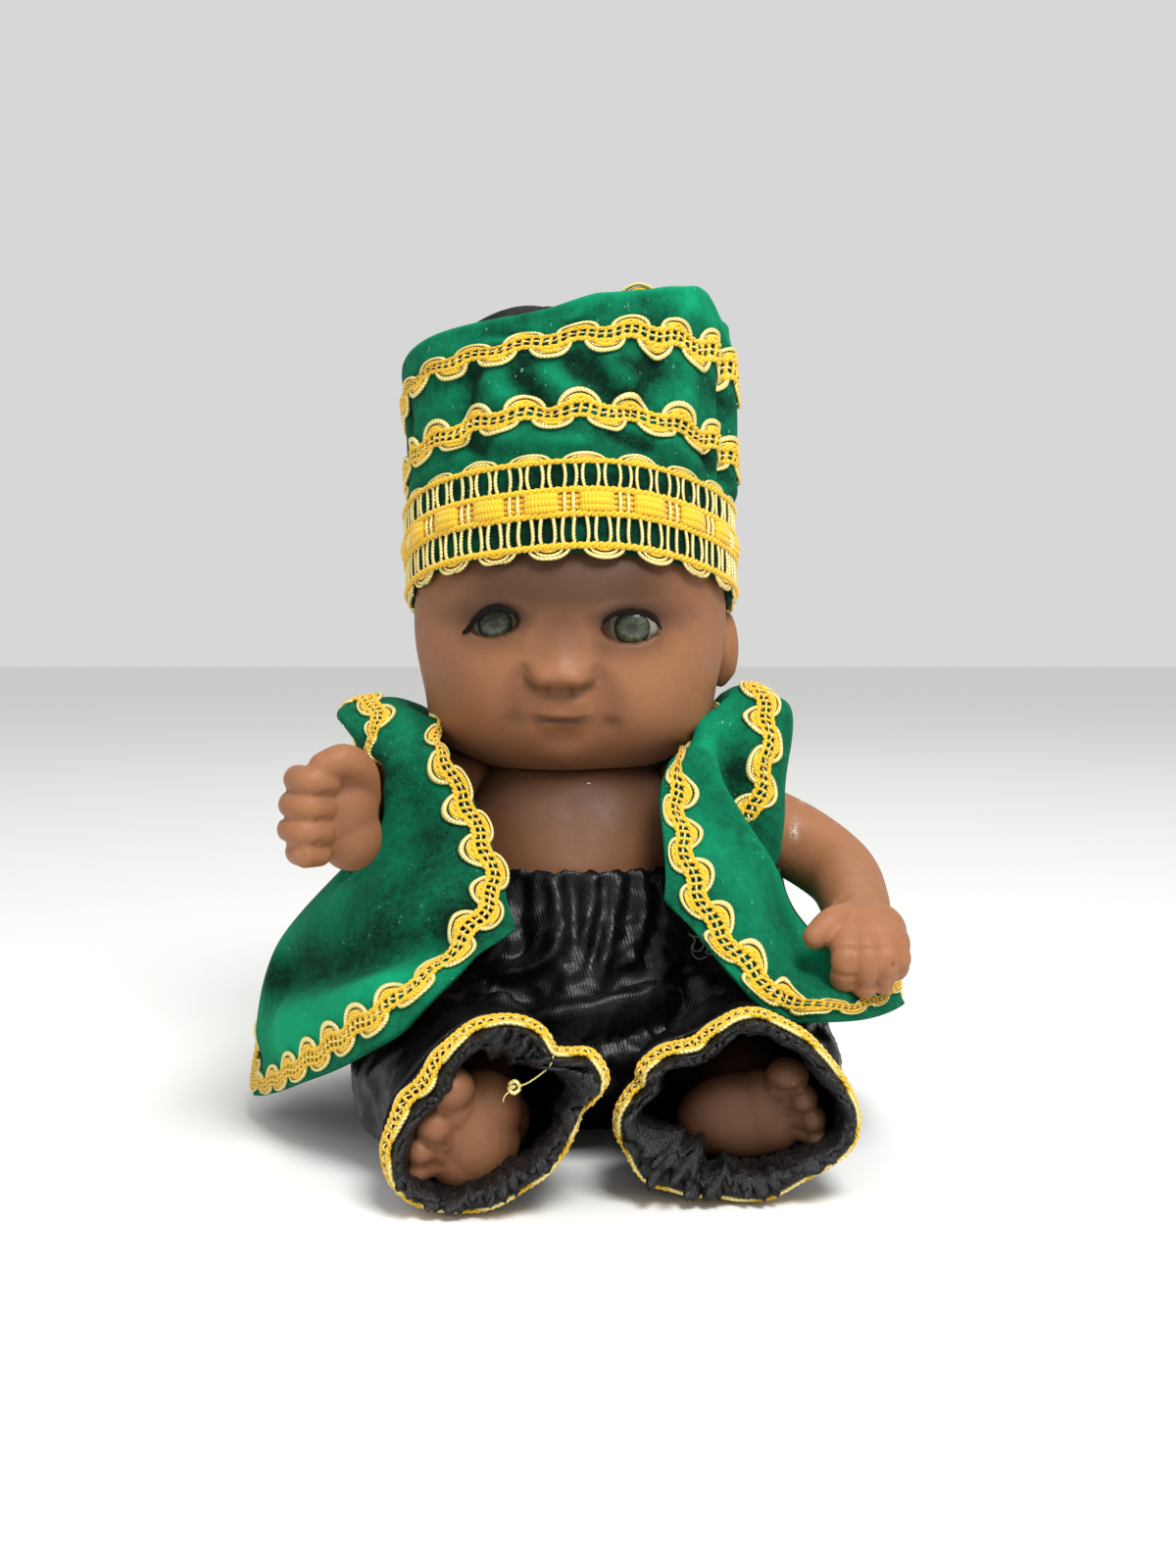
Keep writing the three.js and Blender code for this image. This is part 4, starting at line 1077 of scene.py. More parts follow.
# Soft puckers in the cap's velvet: where each starts and ends, its width and its height
PUCKER_LIFT = 1.35
CAP_PUCKERS = [
    (0.012, 0.70, 0.060, 0.58, 3.4, -1.5), (0.090, 0.73, 0.078, 0.62, 3.0, -1.2),
    (0.955, 0.66, 0.982, 0.57, 3.0, -1.1), (0.908, 0.72, 0.900, 0.60, 3.0, -1.3),
    (0.985, 0.68, 0.997, 0.63, 3.4, 0.9), (0.045, 0.71, 0.056, 0.66, 2.8, 0.9),
    (0.930, 0.69, 0.938, 0.62, 3.2, 0.9), (0.130, 0.72, 0.122, 0.62, 3.6, 1.1),
    (0.943, 0.45, 0.010, 0.42, 2.8, 0.8), (0.050, 0.47, 0.075, 0.42, 2.4, -0.9),
    (0.100, 0.47, 0.130, 0.42, 3.0, 0.9), (0.900, 0.49, 0.915, 0.42, 2.6, -0.9),
    (0.150, 0.49, 0.158, 0.42, 2.0, -0.8), (0.930, 0.95, 0.955, 0.90, 2.6, -0.8),
    (0.010, 0.93, 0.030, 0.98, 2.8, 0.7), (0.085, 0.96, 0.100, 0.90, 2.6, -0.9),
    (0.135, 0.93, 0.140, 0.99, 3.0, 0.8), (0.300, 0.70, 0.315, 0.60, 4.0, -1.4),
    (0.400, 0.72, 0.390, 0.60, 4.0, 1.0), (0.500, 0.70, 0.512, 0.61, 3.6, -1.2),
    (0.620, 0.71, 0.600, 0.61, 3.8, -1.2), (0.700, 0.72, 0.712, 0.60, 3.6, 1.0),
    (0.800, 0.70, 0.790, 0.60, 3.4, -1.2), (0.350, 0.48, 0.370, 0.42, 2.8, -0.9),
    (0.560, 0.48, 0.545, 0.42, 2.8, 0.9), (0.760, 0.48, 0.775, 0.42, 2.8, -0.9),
]


def cap_puckers(u, v):
    """How far the cap's velvet stands out at a place, in millimetres."""
    out = np.zeros(np.broadcast(u, v).shape)
    for u0, v0, u1, v1, width, height in CAP_PUCKERS:
        x = ((u - u0 + 0.5) % 1 - 0.5) * CAP["round"]
        y = (v - v0) * CAP_HEIGHT
        across, up = ((u1 - u0 + 0.5) % 1 - 0.5) * CAP["round"], (v1 - v0) * CAP_HEIGHT
        t = np.clip((x * across + y * up) / (across ** 2 + up ** 2), 0, 1)
        out += PUCKER_LIFT * height * np.exp(-((x - t * across) ** 2 + (y - t * up) ** 2) / width ** 2)
    return out


def by_rows(level, shift, reach):
    """Near 1 beside the two rows of scroll gimp."""
    return sum(hump(level, row - shift, reach) for row in (MIDDLE_ROW, TOP_ROW))


def cap_painted_light(cap):
    """Painted light and shade on the cap's velvet: lighter where it stands out, where it faces up and near the
    rim, darker in its hollows, just under each row of scrolls and round the brow band.
    """
    facing, points = normals(cap), places(cap)
    turn = np.arctan2(points[:, 0] + 1.5, -(points[:, 1] - 6))
    around = (turn / (2 * math.pi)) % 1
    upright = points[:, 2] + points[:, 1] * math.tan(math.radians(CAP["tilt"]))
    level = (upright - CAP["brow"]) / CAP_HEIGHT
    lit = 0.32 + 0.17 * cap_puckers(around, level)
    lit = lit + 0.34 * smooth(level, 0.9, 1.0) + 0.12 * hump(around, 0.86, 0.05)
    lit -= 0.3 * (1 - smooth(level, 0.31, 0.38))
    return np.clip(lit - 0.2 * by_rows(level, 0.09, 0.045) + 0.2 * (facing[:, 2] - 0.1), 0, 1)


def cap_place(u, v):
    """A place on the cap's cloth: u goes round from the front to the right, v up from the brow."""
    turn = 2 * math.pi * u
    round_u, flat = u % 1, np.clip(v, 0, 1)
    near_rim = smooth(flat, 0.85, 1)

    # How far out the cloth stands: the big crease at the right, and free cloth between the rows
    bulge = 1 + 0.014 * np.sin(3 * turn + 5 * flat) * smooth(flat, 0.2, 1)
    pocket = smooth(flat, 0.36, 0.44) * falling(flat, 0.82, 0.98)
    crease = (1 - 0.012 * hump(round_u, 0.13, 0.02) * smooth(flat, 0.35, 0.8)
              - 0.088 * hump(round_u, 0.19, 0.012) * pocket
              + 0.022 * hump(round_u, 0.165, 0.013) * pocket + 0.03 * hump(round_u, 0.228, 0.026) * pocket)
    free = 1 - np.clip(by_rows(flat, 0, 0.055) + falling(flat, 0.36, 0.42), 0, 1)
    puffed = 1 + 0.014 * free + 0.008 * np.sin(9 * turn + 2.1 * np.sin(2 * turn)) * free
    out = crease * bulge * puffed + cap_puckers(round_u, flat) / CAP["half_width"]

    # The cloth past the rim rolls inwards and hangs down
    over = np.clip(v - 1, 0, None) * CAP_HEIGHT
    bend = np.minimum(over / CAP["edge_roll"], math.pi)
    inward = CAP["edge_roll"] * (1 - np.cos(bend))
    hanging = np.clip(over - math.pi * CAP["edge_roll"], 0, None)

    # The slope of the cap, and how its rows and its rim dip
    x = (CAP["half_width"] * out - inward) * np.sin(turn) - 0.3 - 1.7 * flat
    y = -(CAP["half_depth"] * out - inward) * np.cos(turn)
    roll = math.tan(math.radians(CAP["roll"])) * smooth(flat, 0.75, 1)
    slope = np.tan(np.radians(CAP["tilt"] + (CAP["top_tilt"] - CAP["tilt"]) * smooth(flat, 0.8, 1)))
    z = CAP["brow"] + CAP_HEIGHT * flat - y * slope + x * roll
    slumped = 4.5 * smooth(flat, 0.84, 1) * smooth(round_u, 0.155, 0.2) * falling(round_u, 0.3, 0.42)
    wavy = (0.5 * np.sin(4 * turn + 1.0) + 0.3 * np.sin(9 * turn)) * near_rim
    row_drop = smooth(flat, 0.3, MIDDLE_ROW) * (3.3 + 1.6 * smooth(-x, 14, 34))
    over_top = smooth(flat, MIDDLE_ROW, TOP_ROW)
    top_drop = 4.6 - 4.2 * smooth(x, -20 + 15 * near_rim, 32)
    z = z - row_drop * (1 - over_top) - top_drop * over_top
    z = z + 2.0 * hump(round_u, 0.865, 0.05) * smooth(flat, 0.8, 1) + wavy - slumped
    z = z + CAP["edge_roll"] * np.sin(bend) - hanging
    front, back = CAP["centre_y"]
    return np.stack([x, y + front + (back - front) * flat, z], -1)


def surface_normals(place, u, v, step=1e-3):
    """Which way a surface faces, from places a small step apart on it."""
    du = place(u + step, v) - place(u - step, v)
    dv = place(u, v + step) - place(u, v - step)
    return unit(np.cross(du, dv))


def line_velvet(cloth):
    """Gives velvet its thickness, with its woven back on the inside."""
    modify(cloth, "SOLIDIFY", thickness=settings().cloth.velvet_wall, offset=-1, material_offset=1,
           material_offset_rim=0)


class DRESSED_DOLL_OT_cap(bpy.types.Operator):
    """Drape the velvet cap and the black satin crown inside it"""
    bl_idname = "dressed_doll.cap"
    bl_label = "Cap"

    def execute(self, context):
        cloth = settings().cloth
        cap, u, v = grid("velvet_cap", 380, 110)
        move(cap, cap_place(u, CAP_START + v * CAP_REACH))
        close_seams(cap)
        dress(cap, velvet_finish(), lining_finish())
        # Paints light and shade into the cap's velvet
        paint(cap, "nap", cap_painted_light(cap))
        line_velvet(cap)
        finish(cap, "velvet", "cap")

        crown, u, v = grid("satin_crown", 160, 40)
        level = np.full_like(u, CROWN_LEVEL)
        inset = cloth.velvet_wall / MM + CROWN_GAP
        edge = cap_place(u, level) - surface_normals(cap_place, u, level) * inset
        middle = np.array([-1.5, CAP["centre_y"][1], CAP["top"] - 3])
        puff = 8 * (1 - v ** 2) + 3.4 * hump(u, 0.86, 0.1) * np.sin(math.pi * v)
        wrinkle = 0.5 * np.sin(2 * math.pi * 17 * u + 5 * v) * v * (1 - 0.4 * v)
        points = middle + (edge - middle) * v[:, None]
        points[:, 2] += puff + wrinkle
        move(crown, points)
        close_seams(crown)
        modify(crown, "SOLIDIFY", thickness=cloth.satin_wall, offset=0)
        outwards(crown)
        dress(crown, satin_finish("crown_satin", matt=1.0))
        finish(crown, "satin", "cap_crown")
        return {"FINISHED"}


# Woven trims: one repeat is modelled flat, then copied in a row and laid on the cloth

TRIM_GAP = 0.15


def strand(route, radius, steps, finish_index, sides=6, tapered=True, flat=1.0):
    """A thread along a smooth route of places along, across and above the trim."""
    thread, t, v = grid("strand", steps, sides)
    heading = headings(route, t)
    side = unit(np.cross(heading, UP) + np.array([1e-6, 0, 0]))
    lift = np.cross(side, heading)
    turn = 2 * math.pi * v
    thick = np.full_like(t, radius)
    if tapered:
        thick = radius * np.minimum(1, np.minimum(t, 1 - t) * steps) ** 0.5
    ring = np.cos(turn)[:, None] * side + flat * np.sin(turn)[:, None] * lift
    move(thread, along(route, t) + ring * thick[:, None])
    run = np.linalg.norm(np.diff(along(route, np.linspace(0, 1, 60)), axis=0), axis=1).sum()
    own_map = np.stack([t * run, v], -1)[corners(thread)]
    thread.data.uv_layers[0].data.foreach_set("uv", own_map.astype(np.float32).ravel())
    dress(thread, *gimp_finishes())
    picks = np.full(len(thread.data.polygons), finish_index, np.int32)
    thread.data.polygons.foreach_set("material_index", picks)
    return thread


def arch(centre, half, base, rise, radius, finish_index, height, steps, sides, flip):
    """A scallop that stands out from one edge of a trim, or from the other where flip is -1."""
    turn = np.radians(np.linspace(-14, 194, 11))
    route = np.stack([centre + half * np.cos(turn), flip * (base + rise * np.sin(turn)),
                      height - 0.25 * np.abs(np.cos(turn))], -1)
    return strand(route, radius, steps, finish_index, sides)


def plait(level, repeat, radius, height, sway=0.0, turns=4):
    """Two strands twisted round each other, which reads as a chain stitch."""
    parts = []
    t = np.linspace(0, 1, 49)
    wave = sway * np.sin(2 * math.pi * t)
    for half_turn in (0, math.pi):
        twist = 2 * math.pi * turns * t + half_turn
        route = np.stack([repeat * t, level + wave + 0.62 * radius * np.sin(twist),
                          height + 0.5 * radius * np.cos(twist)], -1)
        parts.append(strand(route, radius * 0.74, 24, FLOSS, 5, tapered=False))
    return parts


def scroll_unit(proud=1.0):
    """One repeat of the scroll gimp: a scallop on each side of a plaited ladder.

    Where proud is below 1 the scallops are drawn in and lose their inner rows.
    """
    gimp = settings().gimp
    repeat, half = gimp.repeat / MM, gimp.width / MM / 2
    sway = 0.6 * proud
    parts = []
    for centre, flip in ((repeat * 0.25, 1), (repeat * 0.75, -1)):
        reach = half - 0.5
        parts.append(arch(centre, 4.3, 0.8, (reach - 0.8) * proud, 0.5, CORD, 0.66, 18, 6, flip))
        if proud == 1:
            parts.append(arch(centre, 3.6, 0.8, reach - 1.75, 0.24, CORD, 0.5, 16, 4, flip))
            parts.append(arch(centre, 2.3, 1.2, 1.85, 0.46, FLOSS, 0.7, 12, 6, flip))
    for level in (1.6, -1.6):
        parts += plait(level, repeat, 0.48, 0.72, sway)
    for k in range(6):
        s = repeat * (k + 0.5) / 6
        wave = sway * math.sin(2 * math.pi * s / repeat)
        route = [(s - 0.3, wave - 1.7, 0.45), (s, wave, 0.8), (s + 0.3, wave + 1.7, 0.45)]
        parts.append(strand(route, 0.4, 5, FLOSS, 5))
    t = np.linspace(0, 1, 41)
    height = 0.8 + 0.45 * np.cos(2 * math.pi * (5 * t - 0.5))
    core = np.stack([repeat * t, sway * np.sin(2 * math.pi * t), height], -1)
    parts.append(strand(core, 0.26, 30, CORD, 4, tapered=False))
    return parts


def ladder_bar(s, bow, levels, bends, radius):
    """A bar across a ladder that bows to one side, through some levels."""
    heights = (0.5, 0.7, 0.75, 0.7, 0.5)
    route = [(s + bow * bend, level, height) for level, bend, height in zip(levels, bends, heights)]
    return strand(route, radius, 8, CORD, 5)


def ladder_unit():
    """One repeat of the wide brow band: four plaits, two ladders of bars and a row of floss."""
    repeat = settings().gimp.repeat / MM
    upper, lower = (9.2, 2.9), (-2.2, -8.9)
    parts = []
    for level in upper + lower:
        parts += plait(level, repeat, 0.62, 0.75)
    for centre, flip, base in ((repeat * 0.3, 1, upper[0]), (repeat * 0.62, -1, -lower[1])):
        parts.append(arch(centre, 4.3, base, 11.9 - base - 0.4, 0.42, CORD, 0.6, 16, 6, flip))
        parts.append(arch(centre, 3.0, base, 11.2 - base - 0.4, 0.36, CORD, 0.55, 14, 5, flip))
        parts.append(arch(centre, 1.9, base, 0.9, 0.42, FLOSS, 0.6, 10, 5, flip))
    for k in range(5):
        s = repeat * (k + 0.5) / 5
        bow = 0.55 * (-1 if k % 2 else 1)
        parts.append(ladder_bar(s, bow, (upper[1], 4.6, 6.2, 7.8, upper[0]), (0, 0.8, 1, 0.7, 0), 0.4))
        parts.append(ladder_bar(s, bow * -0.7, (lower[1], -7.2, -5.5, -3.9, lower[0]), (0, 1, 1, 0.6, 0), 0.42))
    middle, block = repeat * 0.5, repeat * 0.62
    for level, lift in ((1.55, 1.05), (0.35, 1.25), (-0.85, 1.05)):
        route = [(middle - block / 2, level, 0.4), (middle - block * 0.3, level, lift),
                 (middle, level, lift + 0.2), (middle + block * 0.3, level, lift),
                 (middle + block / 2, level, 0.4)]
        parts.append(strand(route, 0.95, 12, FLOSS, 7, flat=0.75))
        under = [(0, level, 0.35), (repeat, level, 0.35)]
        parts.append(strand(under, 0.6, 3, FLOSS, 5, tapered=False, flat=0.5))
    for s in (0.9, repeat - 0.9):
        parts.append(strand([(s, lower[0], 0.6), (s, 0.35, 1.15), (s, upper[1], 0.6)], 0.42, 6, CORD, 5))
    return parts


def trim(name, unit_parts, run, lay):
    """Copies a repeat to fill a closed run and lays it on the cloth."""
    repeat = settings().gimp.repeat / MM
    band = join(name, unit_parts)
    count = max(3, round(run / repeat))
    modify(band, "ARRAY", count=count, use_relative_offset=False, use_constant_offset=True,
           constant_offset_displace=(repeat * MM, 0, 0))
    points = places(band)
    s = points[:, 0] / (repeat * count)
    move(band, lay(s, points[:, 1], points[:, 2]))
    close_seams(band, 0.02)
    outwards(band)
    return band


def with_threads(band, threads):
    """Adds the loose ends of a trim to it."""
    return join(band.name, [band] + [strand(*thread) for thread in threads])


def cap_lay(level, stretch=1.0):
    """Lays a trim round the cap at a level, with a little drift up and down."""
    lowest = -0.02

    def lay(s, across, above):
        drift = 0.5 * np.sin(2 * math.pi * s * 2 + 1) + 0.3 * np.sin(2 * math.pi * s * 5)
        v = level + (across * stretch + drift) / CAP_HEIGHT
        on_cap = np.clip(v, lowest, 1)
        under = cap_place(s, on_cap)
        under[:, 2] += np.minimum(v - lowest, 0) * CAP_HEIGHT
        return under + surface_normals(cap_place, s, on_cap) * (above + TRIM_GAP)[:, None]
    return lay


# The end of braid behind the cap's rim: threads by their route, radius, steps and finish
CAP_BRAID_END = [
    ([(10.8, -18, 186), (11.0, -19.6, 191.2), (13.4, -20, 193.2), (16.0, -19.6, 193.3), (18.6, -19, 191.4),
      (18.9, -17.6, 186)], 0.5, 26, CORD),
    ([(12.2, -17.6, 186), (12.4, -19.0, 190.9), (14.0, -19.4, 192.2), (15.8, -19.2, 192.3),
      (17.4, -18.6, 190.8), (17.6, -17.4, 186)], 0.62, 24, FLOSS),
    ([(13.6, -17.4, 186), (13.9, -18.8, 190.0), (15.0, -19.2, 191.4), (16.0, -18.6, 190.0), (16.2, -17.2, 186)],
     0.5, 20, FLOSS),
]


class DRESSED_DOLL_OT_cap_trims(bpy.types.Operator):
    """Sew two rows of scroll gimp and the wide brow band round the cap"""
    bl_idname = "dressed_doll.cap_trims"
    bl_label = "Cap trims"

    def execute(self, context):
        top = trim("cap_top_gimp", scroll_unit(), CAP["round"], cap_lay(TOP_ROW))
        finish(with_threads(top, CAP_BRAID_END), "gimp", "cap_top_braid")
        middle = trim("cap_middle_gimp", scroll_unit(), CAP["round"], cap_lay(MIDDLE_ROW))
        finish(middle, "gimp", "cap_middle_braid")
        band = trim("cap_brow_gimp", ladder_unit(), CAP["round"], cap_lay(BROW_ROW, 1.03))
        finish(band, "gimp", "cap_brow_band")
        return {"FINISHED"}


# The vest: falls of velvet from the neckline to the hem, from the left front edge round the back

VEST_FALLS = np.array([
    [(-34, -4, 92.6), (-27.8, -24.5, 88.6), (-20.6, -32, 77), (-15, -41.5, 65), (-12, -50, 53.5)],
    [(-33.2, -1, 90.5), (-42, -16, 91), (-39.5, -28, 74), (-38, -49, 53), (-36.5, -67, 34)],
    [(-33.6, 5, 90.5), (-56, 3, 97), (-46, 1, 72), (-71, -5, 41), (-78, 0, 4)],
    [(-26, 19, 93), (-40, 28, 86), (-44, 34, 62), (-53, 40, 37), (-60, 42, 14)],
    [(0, 31, 92), (0, 38.5, 82), (0, 43.5, 60), (0, 50, 36), (0, 54, 12)],
    [(26, 19, 94), (40, 28, 88), (44, 33, 65), (50, 38, 42), (56, 38, 22)],
    [(34.6, 5, 95.2), (51, 1, 99), (50.5, -3, 76), (50.5, -10, 53), (75, -20, 32.6)],
    [(33.2, -2, 93.6), (39.5, -15.5, 91), (38, -24, 76), (41, -47, 55), (45.6, -60.5, 35.6)],
    [(29.6, -6, 89.6), (21.8, -25, 87), (19.6, -33, 79), (20.4, -40.5, 70), (20, -48, 60)],
], float)

# Armholes across and down the cloth: middle and half sizes, how far the lower half slants, the run of
# the braid round each, and the level under which that braid is tucked inside the cloth
ARMHOLES = {
    "left": {
        "middle": (0.246, 0.40), "half": (0.052, 0.118), "slant": 0.0, "tuck": 0.47,
        "braid": [(0.180, 0.42), (0.168, 0.34), (0.150, 0.27), (0.165, 0.215), (0.195, 0.18), (0.228, 0.18),
                  (0.26, 0.205), (0.30, 0.26), (0.32, 0.36), (0.32, 0.46), (0.30, 0.54), (0.265, 0.585),
                  (0.225, 0.585), (0.195, 0.55), (0.184, 0.49)],
    },
    "right": {
        "middle": (0.72, 0.5), "half": (0.048, 0.19), "slant": 1.2, "tuck": 0.5,
        "braid": [(0.836, 0.42), (0.836, 0.33), (0.824, 0.24), (0.80, 0.185), (0.765, 0.165), (0.72, 0.18),
                  (0.67, 0.22), (0.635, 0.30), (0.625, 0.42), (0.63, 0.55), (0.66, 0.67), (0.70, 0.74),
                  (0.75, 0.775), (0.80, 0.77), (0.838, 0.72), (0.85, 0.65), (0.846, 0.57), (0.838, 0.50)],
    },
}
NO_TUCK = 2.0
TUCK_DEPTH = 3.6

# Two hollows of the left front, where the velvet both sinks and has painted shade
LEFT_HOLLOW = [(-72, -8, 36), (-66, -19, 38), (-54.7, -36.1, 42.7), (-41.7, -48.9, 48.3), (-30.9, -54.2, 52.7),
               (-24, -52.9, 55.1)]
LEFT_DIP = [(-39.8, -20.7, 86.4), (-35.2, -32.2, 73.1), (-36.3, -40.4, 63.5), (-41.4, -43.3, 55.2)]

# Painted light and shade on the vest's velvet: a route along each lit or shaded place, its width and how light
# it is
VEST_PAINTED_LIGHT = [
    (LEFT_HOLLOW, 6.5, -0.34),
    ([(-67, -22, 27), (-59.5, -34.8, 28.4), (-48.8, -47.8, 35.8), (-40.4, -53.3, 43), (-31.5, -58, 48)],
     7.0, 0.74),
    ([(-73, -8, 24), (-70, -16, 22), (-60, -34, 26)], 6.0, 0.36),
    ([(-70, -8, 45), (-66, -14, 50), (-58, -19, 56)], 6.5, 0.3),
    ([(-43, -6, 97), (-39, -11, 95), (-38, -18, 88)], 4.0, 0.2),
    (LEFT_DIP, 7.0, -0.2),
    ([(31.6, -18.5, 90.3), (33, -23.5, 83.6), (38.1, -24.8, 75.1), (45.2, -28, 63.3), (51.7, -31.2, 51.6),
      (59, -46, 40)], 3.6, 0.42),
    ([(38.2, -19.5, 84), (41, -20.5, 78), (45, -22.5, 71), (50, -22, 63)], 4.4, -0.35),
    ([(37.3, 1.5, 102.9), (36, -6, 100), (34, -12, 96)], 5.0, 0.22),
    ([(27, -34, 76), (33, -42, 64), (42, -47, 52)], 9.0, 0.22),
    ([(44.9, 0, 98), (46, -8, 88), (46, -12, 78)], 4.0, -0.12),
]

# Folds in the vest: a route along each, its width and its height
VEST_FOLDS = [
    ([(33.0, -13.5, 98), (30.2, -21.8, 90.6), (31.4, -24.2, 83.6), (36.4, -25.6, 75.1), (43.4, -29.9, 63.9),
      (51.7, -31.2, 51.6), (57.2, -38.1, 42.7), (60.3, -43.5, 36.9)], 4.2, 2.4),
    ([(38.0, -11.3, 96.2), (36.2, -17.9, 89.5), (36.8, -20.1, 84), (39.4, -21.2, 78), (43.4, -23.2, 71),
      (50, -22, 63), (57, -24, 53)], 4.4, -5.0),
    ([(-46.5, -12.5, 88), (-47, -14, 79), (-49, -16.5, 70), (-56, -12, 60)], 4.6, -5.0),
    ([(-43, -21, 84), (-43.6, -22, 76), (-46, -26, 66), (-56, -20, 56)], 4.0, 1.2),
    (LEFT_HOLLOW, 6.5, -5.4),
    ([(-68, -18, 26), (-60, -32, 32), (-48, -47.2, 39.2), (-34.8, -58.5, 45.9)], 6.0, 3.2),
    (LEFT_DIP, 6.0, -2.4),
    ([(-69, -10, 14), (-74, -1, 13), (-71, 8, 15)], 3.6, -5.0),
    ([(-30, 28, 88), (-34, 36, 66), (-44, 40, 40), (-50, 44, 22)], 7, -2.2),
    ([(-12, 33, 90), (-14, 41, 68), (-20, 47, 42), (-24, 51, 20)], 8, 1.8),
    ([(12, 33, 92), (14, 42, 64), (16, 46, 44), (20, 50, 20)], 7, -2.0),
    ([(30, 26, 92), (36, 34, 68), (42, 38, 48), (48, 40, 30)], 7, 1.6),
]


def vest_cloth(u, v):
    """A place on the smooth surface through the falls."""
    (pick_u, weight_u), (pick_v, weight_v) = (
        spline_weights(at, count) for at, count in zip((u, v), VEST_FALLS.shape))
    near = VEST_FALLS[pick_u[..., :, None], pick_v[..., None, :]]
    return np.einsum("...i,...j,...ijk->...k", weight_u, weight_v, near)


def vest_base(u, v):
    """A place on the vest without its folds, which runs straight on past its edges."""
    v = v * (1 - 0.15 * hump(u, 0.298, 0.028) - 0.045 * hump(u, 0.075, 0.05))
    inner_u, inner_v = np.clip(u, 0, 1), np.clip(v, 0, 1)
    points = vest_cloth(inner_u, inner_v)
    past = (inner_u != u) | (inner_v != v)
    if past.any():
        at_u, at_v, step = inner_u[past], inner_v[past], 0.004
        for near, over, cloth in ((at_u, (u - inner_u)[past], lambda place: vest_cloth(place, at_v)),
                                  (at_v, (v - inner_v)[past], lambda place: vest_cloth(at_u, place))):
            low, high = np.clip(near - step, 0, 1), np.clip(near + step, 0, 1)
            points[past] += (cloth(high) - cloth(low)) / (high - low)[:, None] * over[:, None]
    side = np.abs(u - 0.5)
    shoulder = smooth(side, 0.1, 0.2) * (1 - smooth(side, 0.41, 0.49)) * hump(v, 0.12, 0.07)
    points[..., 2] += 4.8 * shoulder
    points[..., 0] -= 3.5 * shoulder * np.sign(u - 0.5)
    flipped = smooth(u, 0.745, 0.775) * falling(u, 0.85, 0.88)
    shelf = flipped * smooth(v, 0.84, 0.95)
    points[..., 0] += 1.6 * shelf
    points[..., 1] -= 4.5 * shelf
    points[..., 2] += 4.2 * shelf - 3.8 * flipped * smooth(v, 0.955, 1.0)
    return points


def vest_place(u, v):
    """A place on the vest with its folds and a fine ripple."""
    points = vest_base(u, v)
    facing = surface_normals(vest_base, u, v)
    for route, width, height in VEST_FOLDS:
        points = fold(points, facing, route, width, height)
    ripple = 0.35 * np.sin(60 * u + 9 * v) * np.sin(11 * v + 2) + 0.25 * np.sin(140 * u) * smooth(v, 0.9, 1)
    return points + facing * ripple[..., None]


def vest_painted_light(points):
    """How light each place of the vest's velvet is painted: painted light and shade along the routes, with a
    little random change.
    """
    light = np.full(len(points), 0.3)
    for route, width, amount in VEST_PAINTED_LIGHT:
        light += amount * hump(near_route(points, route)[0], 0, width)
    return np.clip(light + 0.07 * rumple(points, 26, 41), 0, 1)


def snap_to_hole(u, v, hole, columns, rows):
    """Moves the grid's places near an armhole onto its edge, and marks those inside it."""
    (cu, cv), (du, dv) = hole["middle"], hole["half"]
    cu = cu + hole["slant"] * np.maximum(v - cv - 0.13, 0)
    far = np.hypot((u - cu) / du, (v - cv) / dv)
    cell = max(1 / columns / du, 1 / rows / dv) * 0.6
    close = (np.abs(far - 1) < cell) & (far > 1e-6)
    u = np.where(close, cu + (u - cu) / far, u)
    v = np.where(close, cv + (v - cv) / far, v)
    return u, v, far < 1 - cell * 0.5


def trimmed_edges(u, v):
    """Draws the front edge and the hem in a little, so that the trim on them covers the cloth."""
    u = u + 0.0045 * smooth(v, 0.2, 0.4) * (1 - smooth(v, 0.86, 0.98)) * (1 - smooth(u, 0, 0.012))
    hem = 0.02 * hump(u, 0.945, 0.024) + 0.014 * hump(u, 0.85, 0.04) + 0.02 * hump(u, 0.05, 0.03)
    return u, v - v * hem


class DRESSED_DOLL_OT_vest(bpy.types.Operator):
    """Drape the velvet vest, with its raw edges and armholes"""
    bl_idname = "dressed_doll.vest"
    bl_label = "Vest"

    def execute(self, context):
        columns, rows = 400, 96
        vest, u, v = grid("velvet_vest", columns, rows)
        gone = np.zeros(len(u), bool)
        for hole in ARMHOLES.values():
            u, v, inside = snap_to_hole(u, v, hole, columns, rows)
            gone |= inside
        move(vest, vest_place(*trimmed_edges(u, v)))
        remove_faces(vest, gone[corners(vest)].reshape(-1, 4).any(1))
        # Paints light and shade into the vest's velvet
        paint(vest, "nap", vest_painted_light(places(vest)))
        dress(vest, bpy.data.materials["green_velvet"], bpy.data.materials["velvet_back"])
        line_velvet(vest)
        finish(vest, "velvet", "vest")
        return {"FINISHED"}


def narrowed(u, v):
    """How much of its width the edge trim keeps: less up the neckline and where the hem turns under."""
    left, right = falling(u, 0.1, 0.2), smooth(u, 0.8, 0.9)
    gone = 1 - smooth(v, 0.1 + 0.18 * right, 0.36 + 0.1 * left + 0.05 * right)
    neck = 1 - (0.62 + 0.08 * left + 0.18 * right) * gone
    hem = 1 - 0.66 * smooth(u, 0.755, 0.775) * (1 - smooth(u, 0.856, 0.88)) * smooth(v, 0.85, 0.9)
    tip = 1 - 0.45 * hump(u, 0.235, 0.035) * smooth(v, 0.85, 0.9)
    return neck * hem * tip


